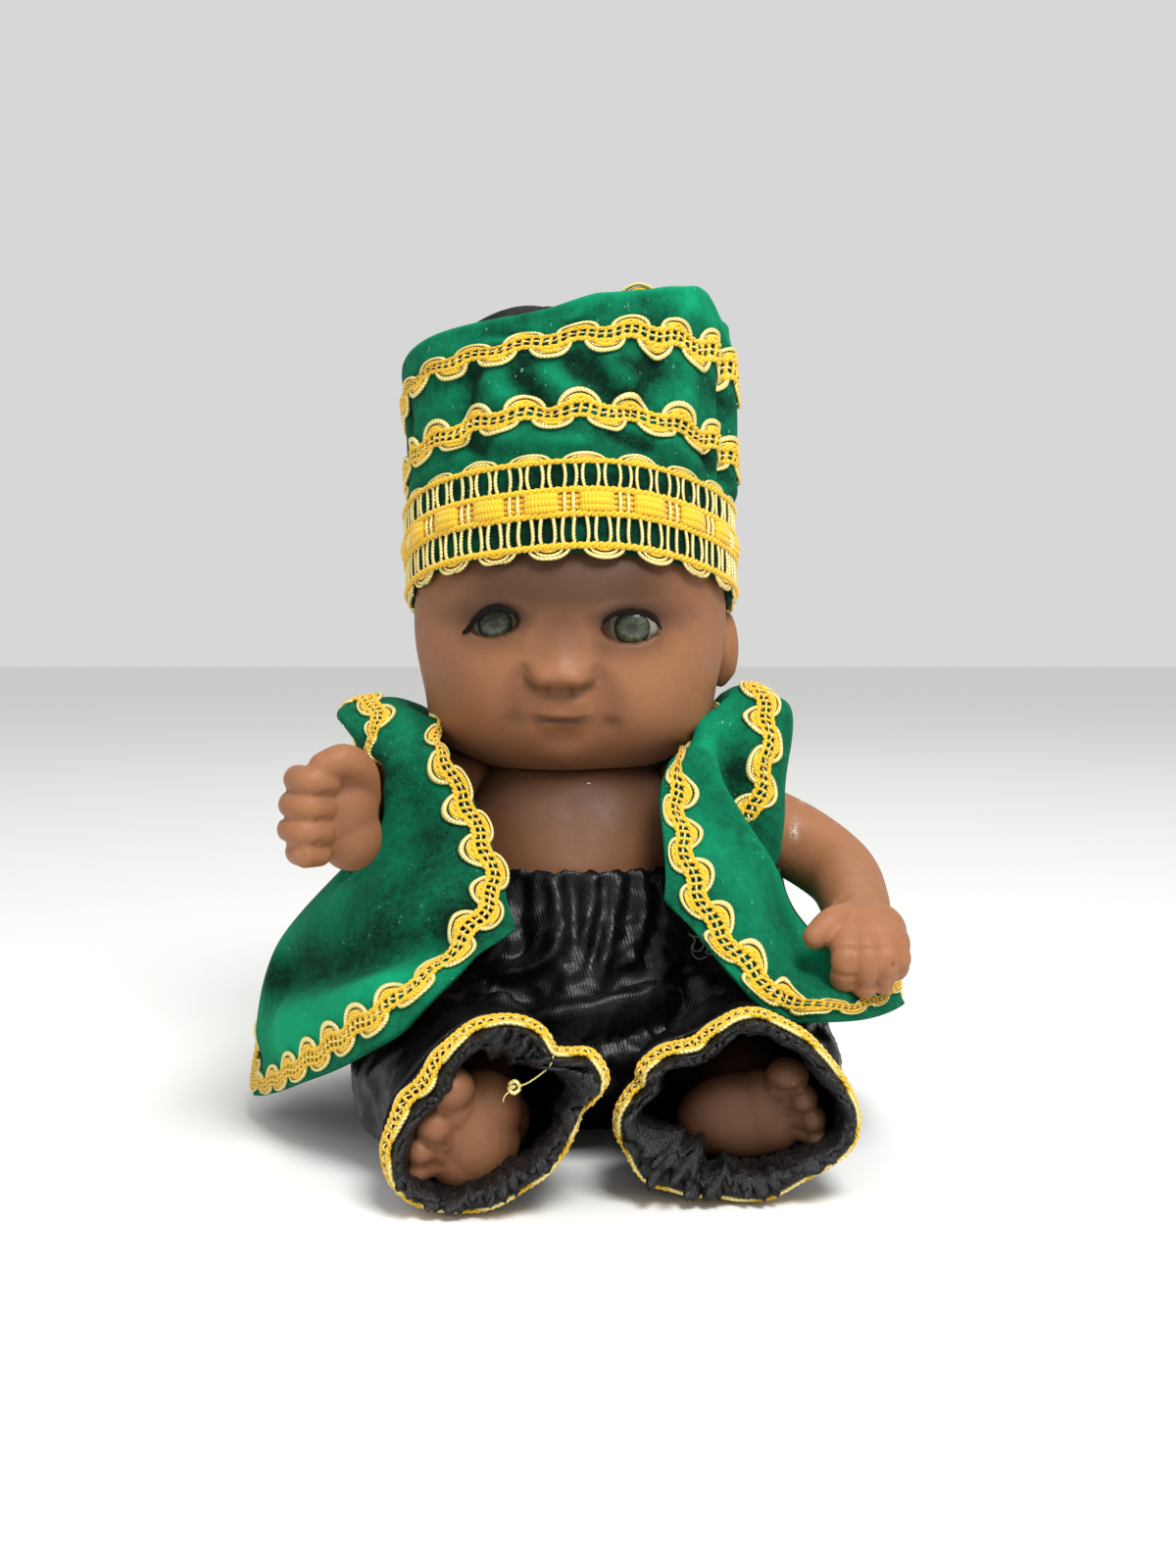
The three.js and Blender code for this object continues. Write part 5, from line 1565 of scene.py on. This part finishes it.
def armhole_narrowed(u, v):
    """How much of its width the armhole trim keeps: less at the left's inner corner."""
    return 1 - 0.66 * hump(u, 0.16, 0.035) * smooth(v, 0.18, 0.28)


def vest_lay(route, tuck, slim):
    """Lays a trim along a run on the vest, bent to the cloth under it."""
    count, (u, v), step = len(route), route.T, 1e-3
    on_cloth = vest_place(u, v)
    facing = surface_normals(vest_base, u, v)
    heading = unit(np.roll(on_cloth, -1, 0) - np.roll(on_cloth, 1, 0))
    across = unit(np.cross(facing, heading))

    # How far across and down the cloth one millimetre across the trim is
    du = (vest_base(u + step, v) - vest_base(u - step, v)) / (2 * step)
    dv = (vest_base(u, v + step) - vest_base(u, v - step)) / (2 * step)
    slant = np.stack([du, dv], -1)
    shift = np.stack([np.linalg.lstsq(slant[i], across[i], rcond=None)[0] for i in range(count)])
    for _ in range(6):
        shift = (shift + np.roll(shift, 1, 0) + np.roll(shift, -1, 0)) / 3
    shift = shift * slim(u, v)[:, None]

    def lay(s, w, above):
        place = (s % 1) * count
        i = np.floor(place).astype(int) % count
        t = (place - np.floor(place))[:, None]
        j = (i + 1) % count
        at = route[i] * (1 - t) + route[j] * t + w[:, None] * (shift[i] * (1 - t) + shift[j] * t)
        under = vest_place(at[:, 0], at[:, 1])
        lift = above + TRIM_GAP - TUCK_DEPTH * smooth(at[:, 1], tuck, tuck + 0.05)
        return under + surface_normals(vest_base, at[:, 0], at[:, 1]) * lift[:, None]
    return lay


def vest_edge_run():
    """Places across and down the cloth where the edge braid runs, once round."""
    left = [(0.085, 0.115), (0.055, 0.145), (0.033, 0.19), (0.021, 0.25)]
    left += [(0.019, v) for v in np.linspace(0.31, 0.77, 9)]
    left += [(0.026, 0.822), (0.040, 0.862), (0.057, 0.894), (0.082, 0.913), (0.107, 0.917), (0.132, 0.924),
             (0.157, 0.934), (0.176, 0.948), (0.195, 0.962), (0.216, 0.972)]
    back = [(u, 0.960) for u in np.linspace(0.245, 0.745, 24)]
    right = [(0.765, 0.964), (0.787, 0.972), (0.811, 0.974), (0.832, 0.972), (0.852, 0.964), (0.874, 0.940),
             (0.897, 0.916), (0.917, 0.900), (0.936, 0.882), (0.950, 0.842), (0.960, 0.785)]
    right += [(u, v) for u, v in zip(np.linspace(0.966, 0.979, 12), np.linspace(0.72, 0.09, 12))]
    neck = [(u, 0.035) for u in np.linspace(0.955, 0.105, 27)]
    return left + back + right + neck


# Frayed threads at the right front corner of the vest
LOOSE_THREADS = [
    [(24.6, -54.5, 53.6), (26.0, -56.4, 52.4), (25.2, -57.4, 51.0), (26.6, -57.6, 50.2), (27.8, -57.0, 51.4),
     (27.0, -57.6, 52.6)],
    [(25.4, -54.8, 53.0), (27.4, -56.8, 52.8), (29.0, -57.6, 51.4), (28.2, -58.0, 50.0), (30.0, -58.0, 49.6)],
    [(26.2, -55.4, 52.6), (25.4, -57.0, 49.8), (26.8, -57.8, 48.6), (28.6, -57.6, 49.2)],
]


class DRESSED_DOLL_OT_vest_trims(bpy.types.Operator):
    """Sew scroll gimp along the vest's edges and round its armholes"""
    bl_idname = "dressed_doll.vest_trims"
    bl_label = "Vest trims"

    def execute(self, context):
        runs = [("vest_edge", vest_edge_run(), 420, NO_TUCK, narrowed)]
        runs += [(side + "_armhole", hole["braid"], 200, hole["tuck"], armhole_narrowed)
                 for side, hole in ARMHOLES.items()]
        pieces = []
        for name, run, count, tuck, slim in runs:
            route, reach = even_loop(run, count, 1600, vest_place)
            pieces.append(trim(name + "_gimp", scroll_unit(), reach, vest_lay(route, tuck, slim)))
            finish(pieces[-1], "gimp", name + "_braid")
        frayed = [strand(route, 0.11, 24, CORD) for route in LOOSE_THREADS]
        for thread in frayed:
            thread.data.materials.clear()
            dress(thread, bpy.data.materials["velvet_back"])
        finish(join("vest_loose_threads", frayed), "velvet")
        return {"FINISHED"}


# The trousers

LEG_LENGTH = 88.0
THIGH = 22  # half the width of a trouser leg at the hip
WAIST = 63.5
TROUSER_DETAIL = 1.1
CUFF_BACK = 8.2  # where the separate cuffs take over from the body
HEM_WALL = 0.6
OVERLAP, LINING_DEPTH = 15, 9  # how far a cuff's outside and its lining run back from its edge
OUTER_SHARE = 0.4  # the share of a cuff's cloth that is outside

# Each cuff: its leg's knee and hip, the middle of its mouth, its half sizes and its outline across and
# up; then by degrees round it, each with a reach and a height: how far the cloth leans in at its edge,
# how wide the hem is that turns in, and how crinkled that is
CUFFS = {
    "left": {
        "knee": (-29, -36, 21), "hip": (-13, 2, 22), "middle": (-18, -80, 21.2), "half": (20.6, 19.0),
        "outline": [(-2.0, 12.4), (0.6, 17.6), (2.4, 22.0), (5.4, 24.6), (7.4, 28.4), (4.6, 32.6), (0.0, 33.0),
                    (-3.2, 33.6), (-5.4, 37.0), (-9.3, 39.6), (-13.7, 40.4), (-18.8, 39.6), (-22.8, 37.8),
                    (-26.9, 34.8), (-30.5, 31.0), (-33.4, 27.3), (-36.3, 23.4), (-38.2, 18.6), (-39.0, 13.6),
                    (-38.3, 9.0), (-36.1, 5.2), (-31.8, 2.4), (-25.0, 1.2), (-18.3, 1.4), (-13.4, 3.2),
                    (-9.6, 5.6), (-5.4, 8.4)],
        "lean": [(150, 50, 5.0), (195, 30, 2.2), (95, 20, 0.4), (15, 15, 1.0)],
        "hem": [(62, 22, 5.0), (20, 20, 3.0), (-70, 35, 1.6)],
        "crinkled": [(62, 30, 0.9), (20, 25, 0.6), (-75, 40, 0.5)],
    },
    "right": {
        "knee": (39, -33, 21), "hip": (14, 2, 22), "middle": (34, -72, 20.8), "half": (23.6, 18.7),
        "outline": [(58.8, 16.4), (58.2, 20.3), (56.5, 24.2), (54.0, 28.0), (50.9, 31.9), (47.2, 35.4),
                    (43.4, 37.7), (39.6, 39.3), (35.8, 39.9), (32.8, 39.2), (29.2, 37.2), (24.8, 34.6),
                    (20.3, 33.1), (16.3, 31.1), (13.5, 28.4), (13.2, 25.0), (11.2, 22.2), (9.4, 18.6),
                    (9.6, 14.6), (11.6, 10.9), (13.8, 6.8), (16.4, 4.4), (20.5, 3.2), (25.0, 2.0), (30.4, 1.6),
                    (35.7, 1.0), (39.9, 1.0), (43.4, 2.6), (45.7, 4.1), (49.5, 6.1), (54.2, 9.0), (57.6, 12.2)],
        "lean": [(125, 35, 2.4), (165, 25, 1.2), (60, 25, 0.4)],
        "hem": [(222, 24, 7.5), (-80, 50, 2.4)],
        "crinkled": [(222, 35, 0.7), (100, 50, 0.3), (-90, 40, 0.4)],
    },
}


def leg_centre(cuff):
    """The middle line of a trouser leg."""
    hip, knee, rim = (np.array(cuff[key], float) for key in ("hip", "knee", "middle"))
    second = np.array([(hip[0] + knee[0]) / 2, (hip[1] + knee[1]) / 2, 21])
    fourth = np.array([knee[0] + (rim[0] - knee[0]) * 0.55, (knee[1] + rim[1]) / 2, 21])
    return np.array([hip, second, knee, fourth, rim])


def by_turn(turn, spots, start):
    """A value round a cuff: a start value, raised near some turns given in degrees."""
    value = np.full_like(turn, start)
    for degrees, reach, height in spots:
        gap = (turn - math.radians(degrees) + math.pi) % (2 * math.pi) - math.pi
        value += height * hump(gap, 0, math.radians(reach))
    return value


@functools.lru_cache
def outline_table(side):
    """The cuff's outline by its turn, a little more than once round, and how long it is."""
    cuff = CUFFS[side]
    ring, run = even_loop(cuff["outline"], 720, 1200)
    angle = np.arctan2(ring[:, 1] - cuff["middle"][2], ring[:, 0] - cuff["middle"][0])
    order = np.argsort(angle)
    angle, ring = angle[order], ring[order]
    angle = np.concatenate([angle[-2:] - 2 * math.pi, angle, angle[:2] + 2 * math.pi])
    return angle, np.concatenate([ring[-2:], ring, ring[:2]]), run


def cuff_place(side, back, turn):
    """A place on the end of a trouser leg, by its distance behind the cuff's edge."""
    cuff = CUFFS[side]
    angle, ring, _ = outline_table(side)
    wrapped = (turn + math.pi) % (2 * math.pi) - math.pi
    x, z = (np.interp(wrapped, angle, ring[:, k]) for k in range(2))
    away = unit(np.stack([x - cuff["middle"][0], z - cuff["middle"][2]], -1))
    lean = by_turn(turn, cuff["lean"], 1.0) * (1 - np.clip(back / 9.5, 0, 1)) ** 1.2
    return np.stack([x - away[:, 0] * lean, cuff["middle"][1] + back * 0.93, z - away[:, 1] * lean], -1)


def leg_place(side, t, turn):
    """A place on a trouser leg: t runs from the hip to the cuff, turn goes round it."""
    cuff = CUFFS[side]
    route = leg_centre(cuff)
    heading = headings(route, t)
    across = unit(np.stack([-heading[:, 1], heading[:, 0], np.zeros_like(t)], -1))
    open_up = smooth(t, 0.55, 1)
    crumple = 0.9 * np.sin(24 * t) * (1 - open_up) * smooth(t, 0.15, 0.4)
    sag = 1 - 0.2 * smooth(t, 0.35, 0.7) * (1 - smooth(t, 0.8, 1))
    wide, tall = ((THIGH + (half - THIGH) * open_up) * sag + crumple for half in cuff["half"])

    def squared(value):
        return np.sign(value) * np.abs(value) ** 0.86
    round_leg = along(route, t) + across * (wide * squared(np.cos(turn)))[:, None]
    round_leg[:, 2] += tall * squared(np.sin(turn))
    blend = smooth(t, 0.66, 0.86)[:, None]
    return round_leg * (1 - blend) + cuff_place(side, (1 - t) * LEG_LENGTH, turn) * blend


def cuff_normals(side, t, turn):
    """Which way a trouser leg's cloth faces, always outwards."""
    step = 1e-3
    du = leg_place(side, t, turn + step * 8) - leg_place(side, t, turn - step * 8)
    dt = leg_place(side, np.clip(t + step, 0, 1), turn) - leg_place(side, np.clip(t - step, 0, 1), turn)
    facing = unit(np.cross(du, dt))
    away = leg_place(side, t, turn) - along(leg_centre(CUFFS[side]), t)
    return facing * np.sign((facing * away).sum(-1))[:, None]


def leg_body(side):
    """A closed trouser leg, from the hip to the cuff's mouth."""
    body, turn, fall, _ = ball("trouser_leg", 120, 110)
    t = np.clip((fall - 0.01) / 0.98, 0, 1)
    points = leg_place(side, t, turn)
    for end, level in ((fall < 0.002, 0.0), (fall > 0.998, 1.0)):
        points[end] = along(leg_centre(CUFFS[side]), np.array([level]))[0]
    move(body, points)
    outwards(body)
    return body


# The seat's ovals up to the waist: height, half width, half depth and shift in depth
SEAT_LEVELS = [(-5, 35, 21, 9), (12, 38, 30, 4), (30, 38.5, 37, -4), (44, 35, 35.5, -5), (56, 32.5, 31, -4),
               (64.5, 30.6, 29.4, -3)]

# Folds in the satin: a route along each, its width and its height
TROUSER_FOLDS = [
    ([(-5.8, -33.0, 64), (-3.8, -33.9, 60.0), (-3.0, -35.5, 54.8), (-3.4, -38.8, 48.4), (-7.2, -40.0, 44.3),
      (-12.6, -38.7, 42.0), (-20.5, -37.8, 40.0)], 2.0, 2.8),
    ([(-11.1, -31.0, 63), (-12.0, -33.5, 54.5), (-11.7, -37.3, 47.3), (-15.8, -37.6, 44.5)], 2.2, -1.7),
    ([(-8.6, -31.0, 62), (-7.8, -34.5, 55), (-8.2, -37.3, 49)], 1.8, 0.8),
    ([(-1.0, -32.4, 63.5), (0.2, -34.6, 54.7), (0.6, -38.4, 47.5), (-0.3, -40.4, 42.5)], 1.9, -1.8),
    ([(4.4, -33.3, 63.5), (4.9, -34.6, 58.6), (3.2, -36.5, 52.6), (1.8, -38.3, 47.9)], 1.8, 1.7),
    ([(7.4, -33.0, 63.0), (7.0, -35.5, 55.6), (5.2, -39.4, 47.7), (3.5, -41.1, 41.1)], 1.6, -1.8),
    ([(11.2, -30.5, 63.5), (9.2, -33.8, 57.7), (8.1, -37.4, 51.3), (7.2, -40.1, 45.5), (5.4, -41.5, 40.4)],
     1.9, 2.0),
    ([(13.4, -29.4, 62.5), (12.6, -31.7, 56.6), (12.0, -34.8, 50.4)], 1.5, -1.2),
    ([(15.0, -29.4, 63), (16.0, -29.7, 58.6), (16.0, -31.8, 53.4), (15.0, -35.0, 48.5)], 1.8, 1.5),
    ([(19.2, -27.9, 62.5), (19.8, -29.8, 55.4), (18.8, -33.1, 48.9), (15.0, -37.0, 43.4)], 2.4, -1.9),
    ([(-23.0, -47.0, 37.5), (-14.5, -47.6, 34.6), (-5.5, -48.6, 33.6), (5.0, -48.6, 34.8), (16.4, -43.8, 37.1),
      (28.9, -37.4, 38.7), (36.0, -38.0, 39.6)], 3.2, 4.2),
    ([(-24, -44.0, 40), (-14.6, -41.0, 38.4), (-5.6, -44.0, 37.6), (3.5, -44.4, 39), (13.5, -39.4, 41.5),
      (24, -34, 42.6)], 2.8, -2.2),
    ([(-12, -53, 29.6), (0, -53.6, 28), (10, -52, 29.6), (20, -46.6, 32.4), (30, -41, 34.6), (36, -42, 36)],
     3.0, -2.4),
    ([(11.9, -37.8, 45.1), (18.0, -36.2, 43.0), (24.6, -31.2, 43.2), (31.1, -27.3, 43.5)], 2.2, 1.6),
    ([(20.9, -58, 33.6), (26.2, -54.8, 35.6), (33.6, -46.6, 37.4)], 2.4, 1.6),
    ([(-38, -60, 33), (-44, -48, 30), (-46, -36, 24)], 3.2, -1.6),
    ([(-34, -62, 38), (-40, -50, 37), (-42, -38, 34)], 3.0, 1.5),
    ([(50, -56, 36), (56, -44, 32), (58, -32, 26)], 3.2, -1.6),
    ([(44, -56, 40), (50, -44, 38), (52, -32, 34)], 3.0, 1.5),
    ([(57, -52, 22), (61, -42, 18), (60, -30, 14)], 3.0, 1.4),
]


def gathers(turn, z):
    """Small pleats round the waist, fewer in front, where the large folds are."""
    pleats = np.cos(14 * turn) + 0.5 * np.cos(23 * turn + 1)
    front = hump((turn + math.pi / 2 + math.pi) % (2 * math.pi) - math.pi, 0, 0.8)
    return 0.9 * pleats * smooth(z, 30, 58) * (1 - 0.85 * front)


def trouser_body():
    """The seat, the lap and both legs under one skin, with their folds."""
    seat = stacked("seat", SEAT_LEVELS, 200, 80, 0.5, gathers)
    lap = blob((5, -31, 28), (24, 21, 14), 48, 32)
    body = join("satin_trousers", [seat, lap, leg_body("left"), leg_body("right")])
    remesh(body, TROUSER_DETAIL, 4)
    points, facing = places(body), normals(body)
    for route, width, height in TROUSER_FOLDS:
        points = fold(points, facing, route, width, height, 0.15)
    quiet = smooth(points[:, 2], 1, 8) * falling(points[:, 2], 52, 63)
    for cuff in CUFFS.values():
        beside = falling(np.abs(points[:, 0] - cuff["middle"][0]), 26, 30)
        quiet *= 1 - beside * smooth(-points[:, 1], -cuff["middle"][1] - 24, -cuff["middle"][1] - 12)
    heights = 0.5 * rumple(points, 17, 3) + 0.4 * creased(points, 8, 5)
    points += facing * (heights * quiet)[:, None]
    points[:, 2] = np.maximum(points[:, 2], 0.15)
    move(body, points)
    return body


def opened(body):
    """Opens the waist and the two cuffs of the closed body, and evens the waist's edge."""
    centres, facings = faces(body)
    gone = (centres[:, 2] > WAIST - 0.1) & (facings[:, 2] > 0.3)
    for cuff in CUFFS.values():
        x, y, z = cuff["middle"]
        near = np.hypot(centres[:, 0] - x, centres[:, 2] - z) < 34
        gone |= near & (centres[:, 1] < y + CUFF_BACK)
    remove_faces(body, gone)
    points = places(body)
    turn = np.arctan2(points[:, 1] + 3, points[:, 0])
    top = points[:, 2] > WAIST - 0.7
    points[top, 2] = WAIST + (0.35 * np.sin(34 * turn) + 0.25 * np.sin(61 * turn + 1))[top]
    move(body, points)
    return body


def cuff_cloth(side):
    """The end of a trouser leg, turned in at its edge in a crinkled hem."""
    cuff = CUFFS[side]
    cloth, u, v = grid("cuff", 224, 38)
    turn = 2 * math.pi * u

    # The outer part follows the leg, a little inside it where the two overlap
    outer = np.clip(v / OUTER_SHARE, 0, 1)
    inner = np.clip((v - OUTER_SHARE) / (1 - OUTER_SHARE), 0, 1)
    back = OVERLAP * (1 - outer)
    t = 1 - back / LEG_LENGTH
    points = leg_place(side, t, turn)
    sunk = -0.9 * smooth(back, 5.5, 8.5)
    points += cuff_normals(side, np.clip(t, 0, 0.998), turn) * sunk[:, None]

    # The inner part turns in from the edge, then runs back as a crinkled lining
    edge = cuff_place(side, np.zeros_like(turn), turn)
    towards = unit((np.array(cuff["middle"]) - edge) * np.array([1, 0, 1]))
    ring = np.stack([22 * np.cos(turn), 22 * np.sin(turn), 14 * inner], -1)
    rough = by_turn(turn, cuff["crinkled"], 0.6)
    crinkle = 0.75 * creased(ring, 7, 11) + 0.55 * creased(ring, 3.6, 12) + 0.4 * rumple(ring, 12, 13)
    hem = by_turn(turn, cuff["hem"], 2.3) * (1 + 0.18 * rumple(ring * [1, 1, 0], 9, 14))
    inward = hem * smooth(inner, 0, 0.75) + 0.4 * np.sin(math.pi * inner)
    deep = LINING_DEPTH * smooth(inner, 0.35, 1) - 0.7 * np.sin(math.pi * np.clip(inner / 0.5, 0, 1))
    held = smooth(inner, 0, 0.12)
    lining = edge + towards * (inward + 0.6 * rough * crinkle * held)[:, None]
    lining[:, 1] += deep + rough * crinkle * held
    points = np.where((inner > 0)[:, None], lining, points)
    points[:, 2] = np.maximum(points[:, 2], 0.3 + 0.9 * inner)
    move(cloth, points)
    close_seams(cloth)
    return cloth


class DRESSED_DOLL_OT_trousers(bpy.types.Operator):
    """Model the gathered satin trousers with their turned-in cuffs"""
    bl_idname = "dressed_doll.trousers"
    bl_label = "Trousers"

    def execute(self, context):
        satin, worn = satin_finish("black_satin"), satin_finish("worn_satin", worn=1.0)
        body = opened(trouser_body())
        modify(body, "SOLIDIFY", thickness=settings().cloth.satin_wall, offset=-1)
        cuffs = [cuff_cloth(side) for side in CUFFS]
        for piece in [body] + cuffs:
            dress(piece, satin, worn)
        for piece, cuff in zip(cuffs, CUFFS.values()):
            piece.data.polygons.foreach_set("material_index", turned_in_faces(piece, cuff))
            modify(piece, "SOLIDIFY", thickness=HEM_WALL * MM, offset=0)
        finish(join("satin_trousers", [body] + cuffs), "satin", "trousers")
        return {"FINISHED"}


def turned_in_faces(cloth, cuff):
    """1 for each face that looks towards the middle of the leg, 0 for the others."""
    centres, facings = faces(cloth)
    away = (centres - np.array(cuff["middle"])) * [1, 0, 1]
    return ((away * facings).sum(1) < 0).astype(np.int32)


CUFF_TRIM_BACK = 3.4

# The knotted thread end inside the left cuff: threads by their route, radius, steps and finish
CUFF_THREAD_END = [
    ([(-12.3, -80.6, 27.6), (-11.0, -81.4, 28.6), (-10.0, -81.2, 27.2), (-11.2, -81.6, 26.2),
      (-12.2, -81.0, 27.0), (-10.9, -81.8, 27.6)], 0.42, 26, CORD),
    ([(-11.0, -81.0, 27.4), (-8.8, -81.2, 28.0), (-6.0, -81.0, 29.8), (-4.0, -80.6, 31.6), (-3.4, -79.6, 33.4)],
     0.17, 24, CORD),
    ([(-11.4, -80.8, 27.0), (-13.0, -81.4, 25.6), (-13.4, -81.2, 24.2)], 0.14, 12, CORD),
]


class DRESSED_DOLL_OT_cuff_trims(bpy.types.Operator):
    """Sew scroll gimp round the edge of each trouser cuff"""
    bl_idname = "dressed_doll.cuff_trims"
    bl_label = "Cuff trims"

    def execute(self, context):
        pieces = []
        for side in CUFFS:
            gimp = trim(side + "_cuff_gimp", scroll_unit(0.45), outline_table(side)[2], cuff_lay(side))
            pieces.append(with_threads(gimp, CUFF_THREAD_END) if side == "left" else gimp)
            finish(pieces[-1], "gimp", side + "_cuff_braid")
        return {"FINISHED"}


def cuff_lay(side):
    """Lays a trim round the outside of a cuff, even along its edge."""
    angle, ring, run = outline_table(side)
    steps = np.linalg.norm(np.diff(ring, axis=0), axis=1)
    reach = np.concatenate([[0], np.cumsum(steps)]) / run

    def lay(s, across, above):
        turn = np.interp(s % 1, reach - reach[2], angle)
        back = CUFF_TRIM_BACK - across
        t = np.clip(1 - back / LEG_LENGTH, 0, 0.9985)
        points = leg_place(side, t, turn) + cuff_normals(side, t, turn) * (above + 0.2)[:, None]
        points[:, 1] -= np.clip(-back, 0, None)
        points[:, 2] = np.maximum(points[:, 2], 0.1 + 0.3 * above)
        return points
    return lay


# Floor, lights and camera, in metres

FLOOR = {"size": 6, "level": -0.0002}
LIGHT_AIM = Vector((0, 0, 0.09))
LIGHTS = {  # the setting that holds its power, its size and its place
    "key": ("key", 0.34, (0.24, -0.54, 0.80)),
    "fill": ("fill", 0.9, (-0.75, -0.6, 0.5)),
    "back": ("fill", 0.6, (0.1, 0.8, 0.9)),
}
CAMERA = {"place": (0.0035, -0.450, 0.124), "looks_down": 5.6, "sensor": 36, "lens": 43.5}


class DRESSED_DOLL_OT_stage(bpy.types.Operator):
    """Set the floor, the soft lights and the camera"""
    bl_idname = "dressed_doll.stage"
    bl_label = "Floor, lights and camera"

    def execute(self, context):
        stage = settings().stage
        bpy.ops.object.select_all(action="DESELECT")
        bpy.ops.mesh.primitive_plane_add(size=FLOOR["size"], location=(0, 0, FLOOR["level"]))
        floor = context.object
        floor.name = "floor"
        dress(floor, Finish("pale_floor", tuple(stage.floor), 0.9).material)
        for name, (power, size, place) in LIGHTS.items():
            bpy.ops.object.light_add(type="AREA", location=place)
            light = context.object
            light.name = name
            light.data.energy = getattr(stage, power)
            light.data.size = size
            light.rotation_euler = (LIGHT_AIM - Vector(place)).to_track_quat("-Z", "Y").to_euler()
        world = bpy.data.worlds.new("soft_room")
        context.scene.world = world
        world.use_nodes = True
        background = world.node_tree.nodes["Background"]
        background.inputs["Color"].default_value = (1, 1, 1, 1)
        background.inputs["Strength"].default_value = stage.sky
        context.scene.view_settings.view_transform = "Standard"
        tilt = math.radians(90 - CAMERA["looks_down"])
        bpy.ops.object.camera_add(location=CAMERA["place"], rotation=(tilt, 0, 0))
        camera = context.object
        camera.data.sensor_width = CAMERA["sensor"]
        camera.data.sensor_fit = "AUTO"
        camera.data.lens = CAMERA["lens"]
        camera.data.clip_start = 0.01
        context.scene.camera = camera
        return {"FINISHED"}


class DRESSED_DOLL_PT_panel(bpy.types.Panel):
    """The doll's sizes, finishes and pieces"""
    bl_idname = "DRESSED_DOLL_PT_panel"
    bl_label = "Dressed orisha doll"
    bl_space_type = "VIEW_3D"
    bl_region_type = "UI"
    bl_category = "Orisha Doll"

    def draw(self, context):
        doll = context.scene.orisha_doll
        for group in (doll.vinyl, doll.cloth, doll.gimp, doll.stage):
            box = self.layout.box()
            for name in group.bl_rna.properties.keys():
                if name not in ("rna_type", "name"):
                    box.prop(group, name)
        for piece in PIECES:
            self.layout.operator(piece.bl_idname)


class DollSettings(bpy.types.PropertyGroup):
    """All that a user would change"""
    vinyl: PointerProperty(type=DollVinyl)
    cloth: PointerProperty(type=DollCloth)
    gimp: PointerProperty(type=DollGimp)
    stage: PointerProperty(type=DollStage)


PIECES = (
    DRESSED_DOLL_OT_stage, DRESSED_DOLL_OT_head, DRESSED_DOLL_OT_torso, DRESSED_DOLL_OT_limbs,
    DRESSED_DOLL_OT_cap, DRESSED_DOLL_OT_cap_trims, DRESSED_DOLL_OT_vest, DRESSED_DOLL_OT_vest_trims,
    DRESSED_DOLL_OT_trousers, DRESSED_DOLL_OT_cuff_trims,
)
CLASSES = (DollVinyl, DollCloth, DollGimp, DollStage, DollSettings, *PIECES, DRESSED_DOLL_PT_panel)


def register():
    for piece in CLASSES:
        bpy.utils.register_class(piece)
    bpy.types.Scene.orisha_doll = PointerProperty(type=DollSettings)


def unregister():
    del bpy.types.Scene.orisha_doll
    for piece in reversed(CLASSES):
        bpy.utils.unregister_class(piece)


def main():
    register()
    for piece in PIECES:
        family, name = piece.bl_idname.split(".")
        getattr(getattr(bpy.ops, family), name)()


if __name__ == "__main__":
    main()
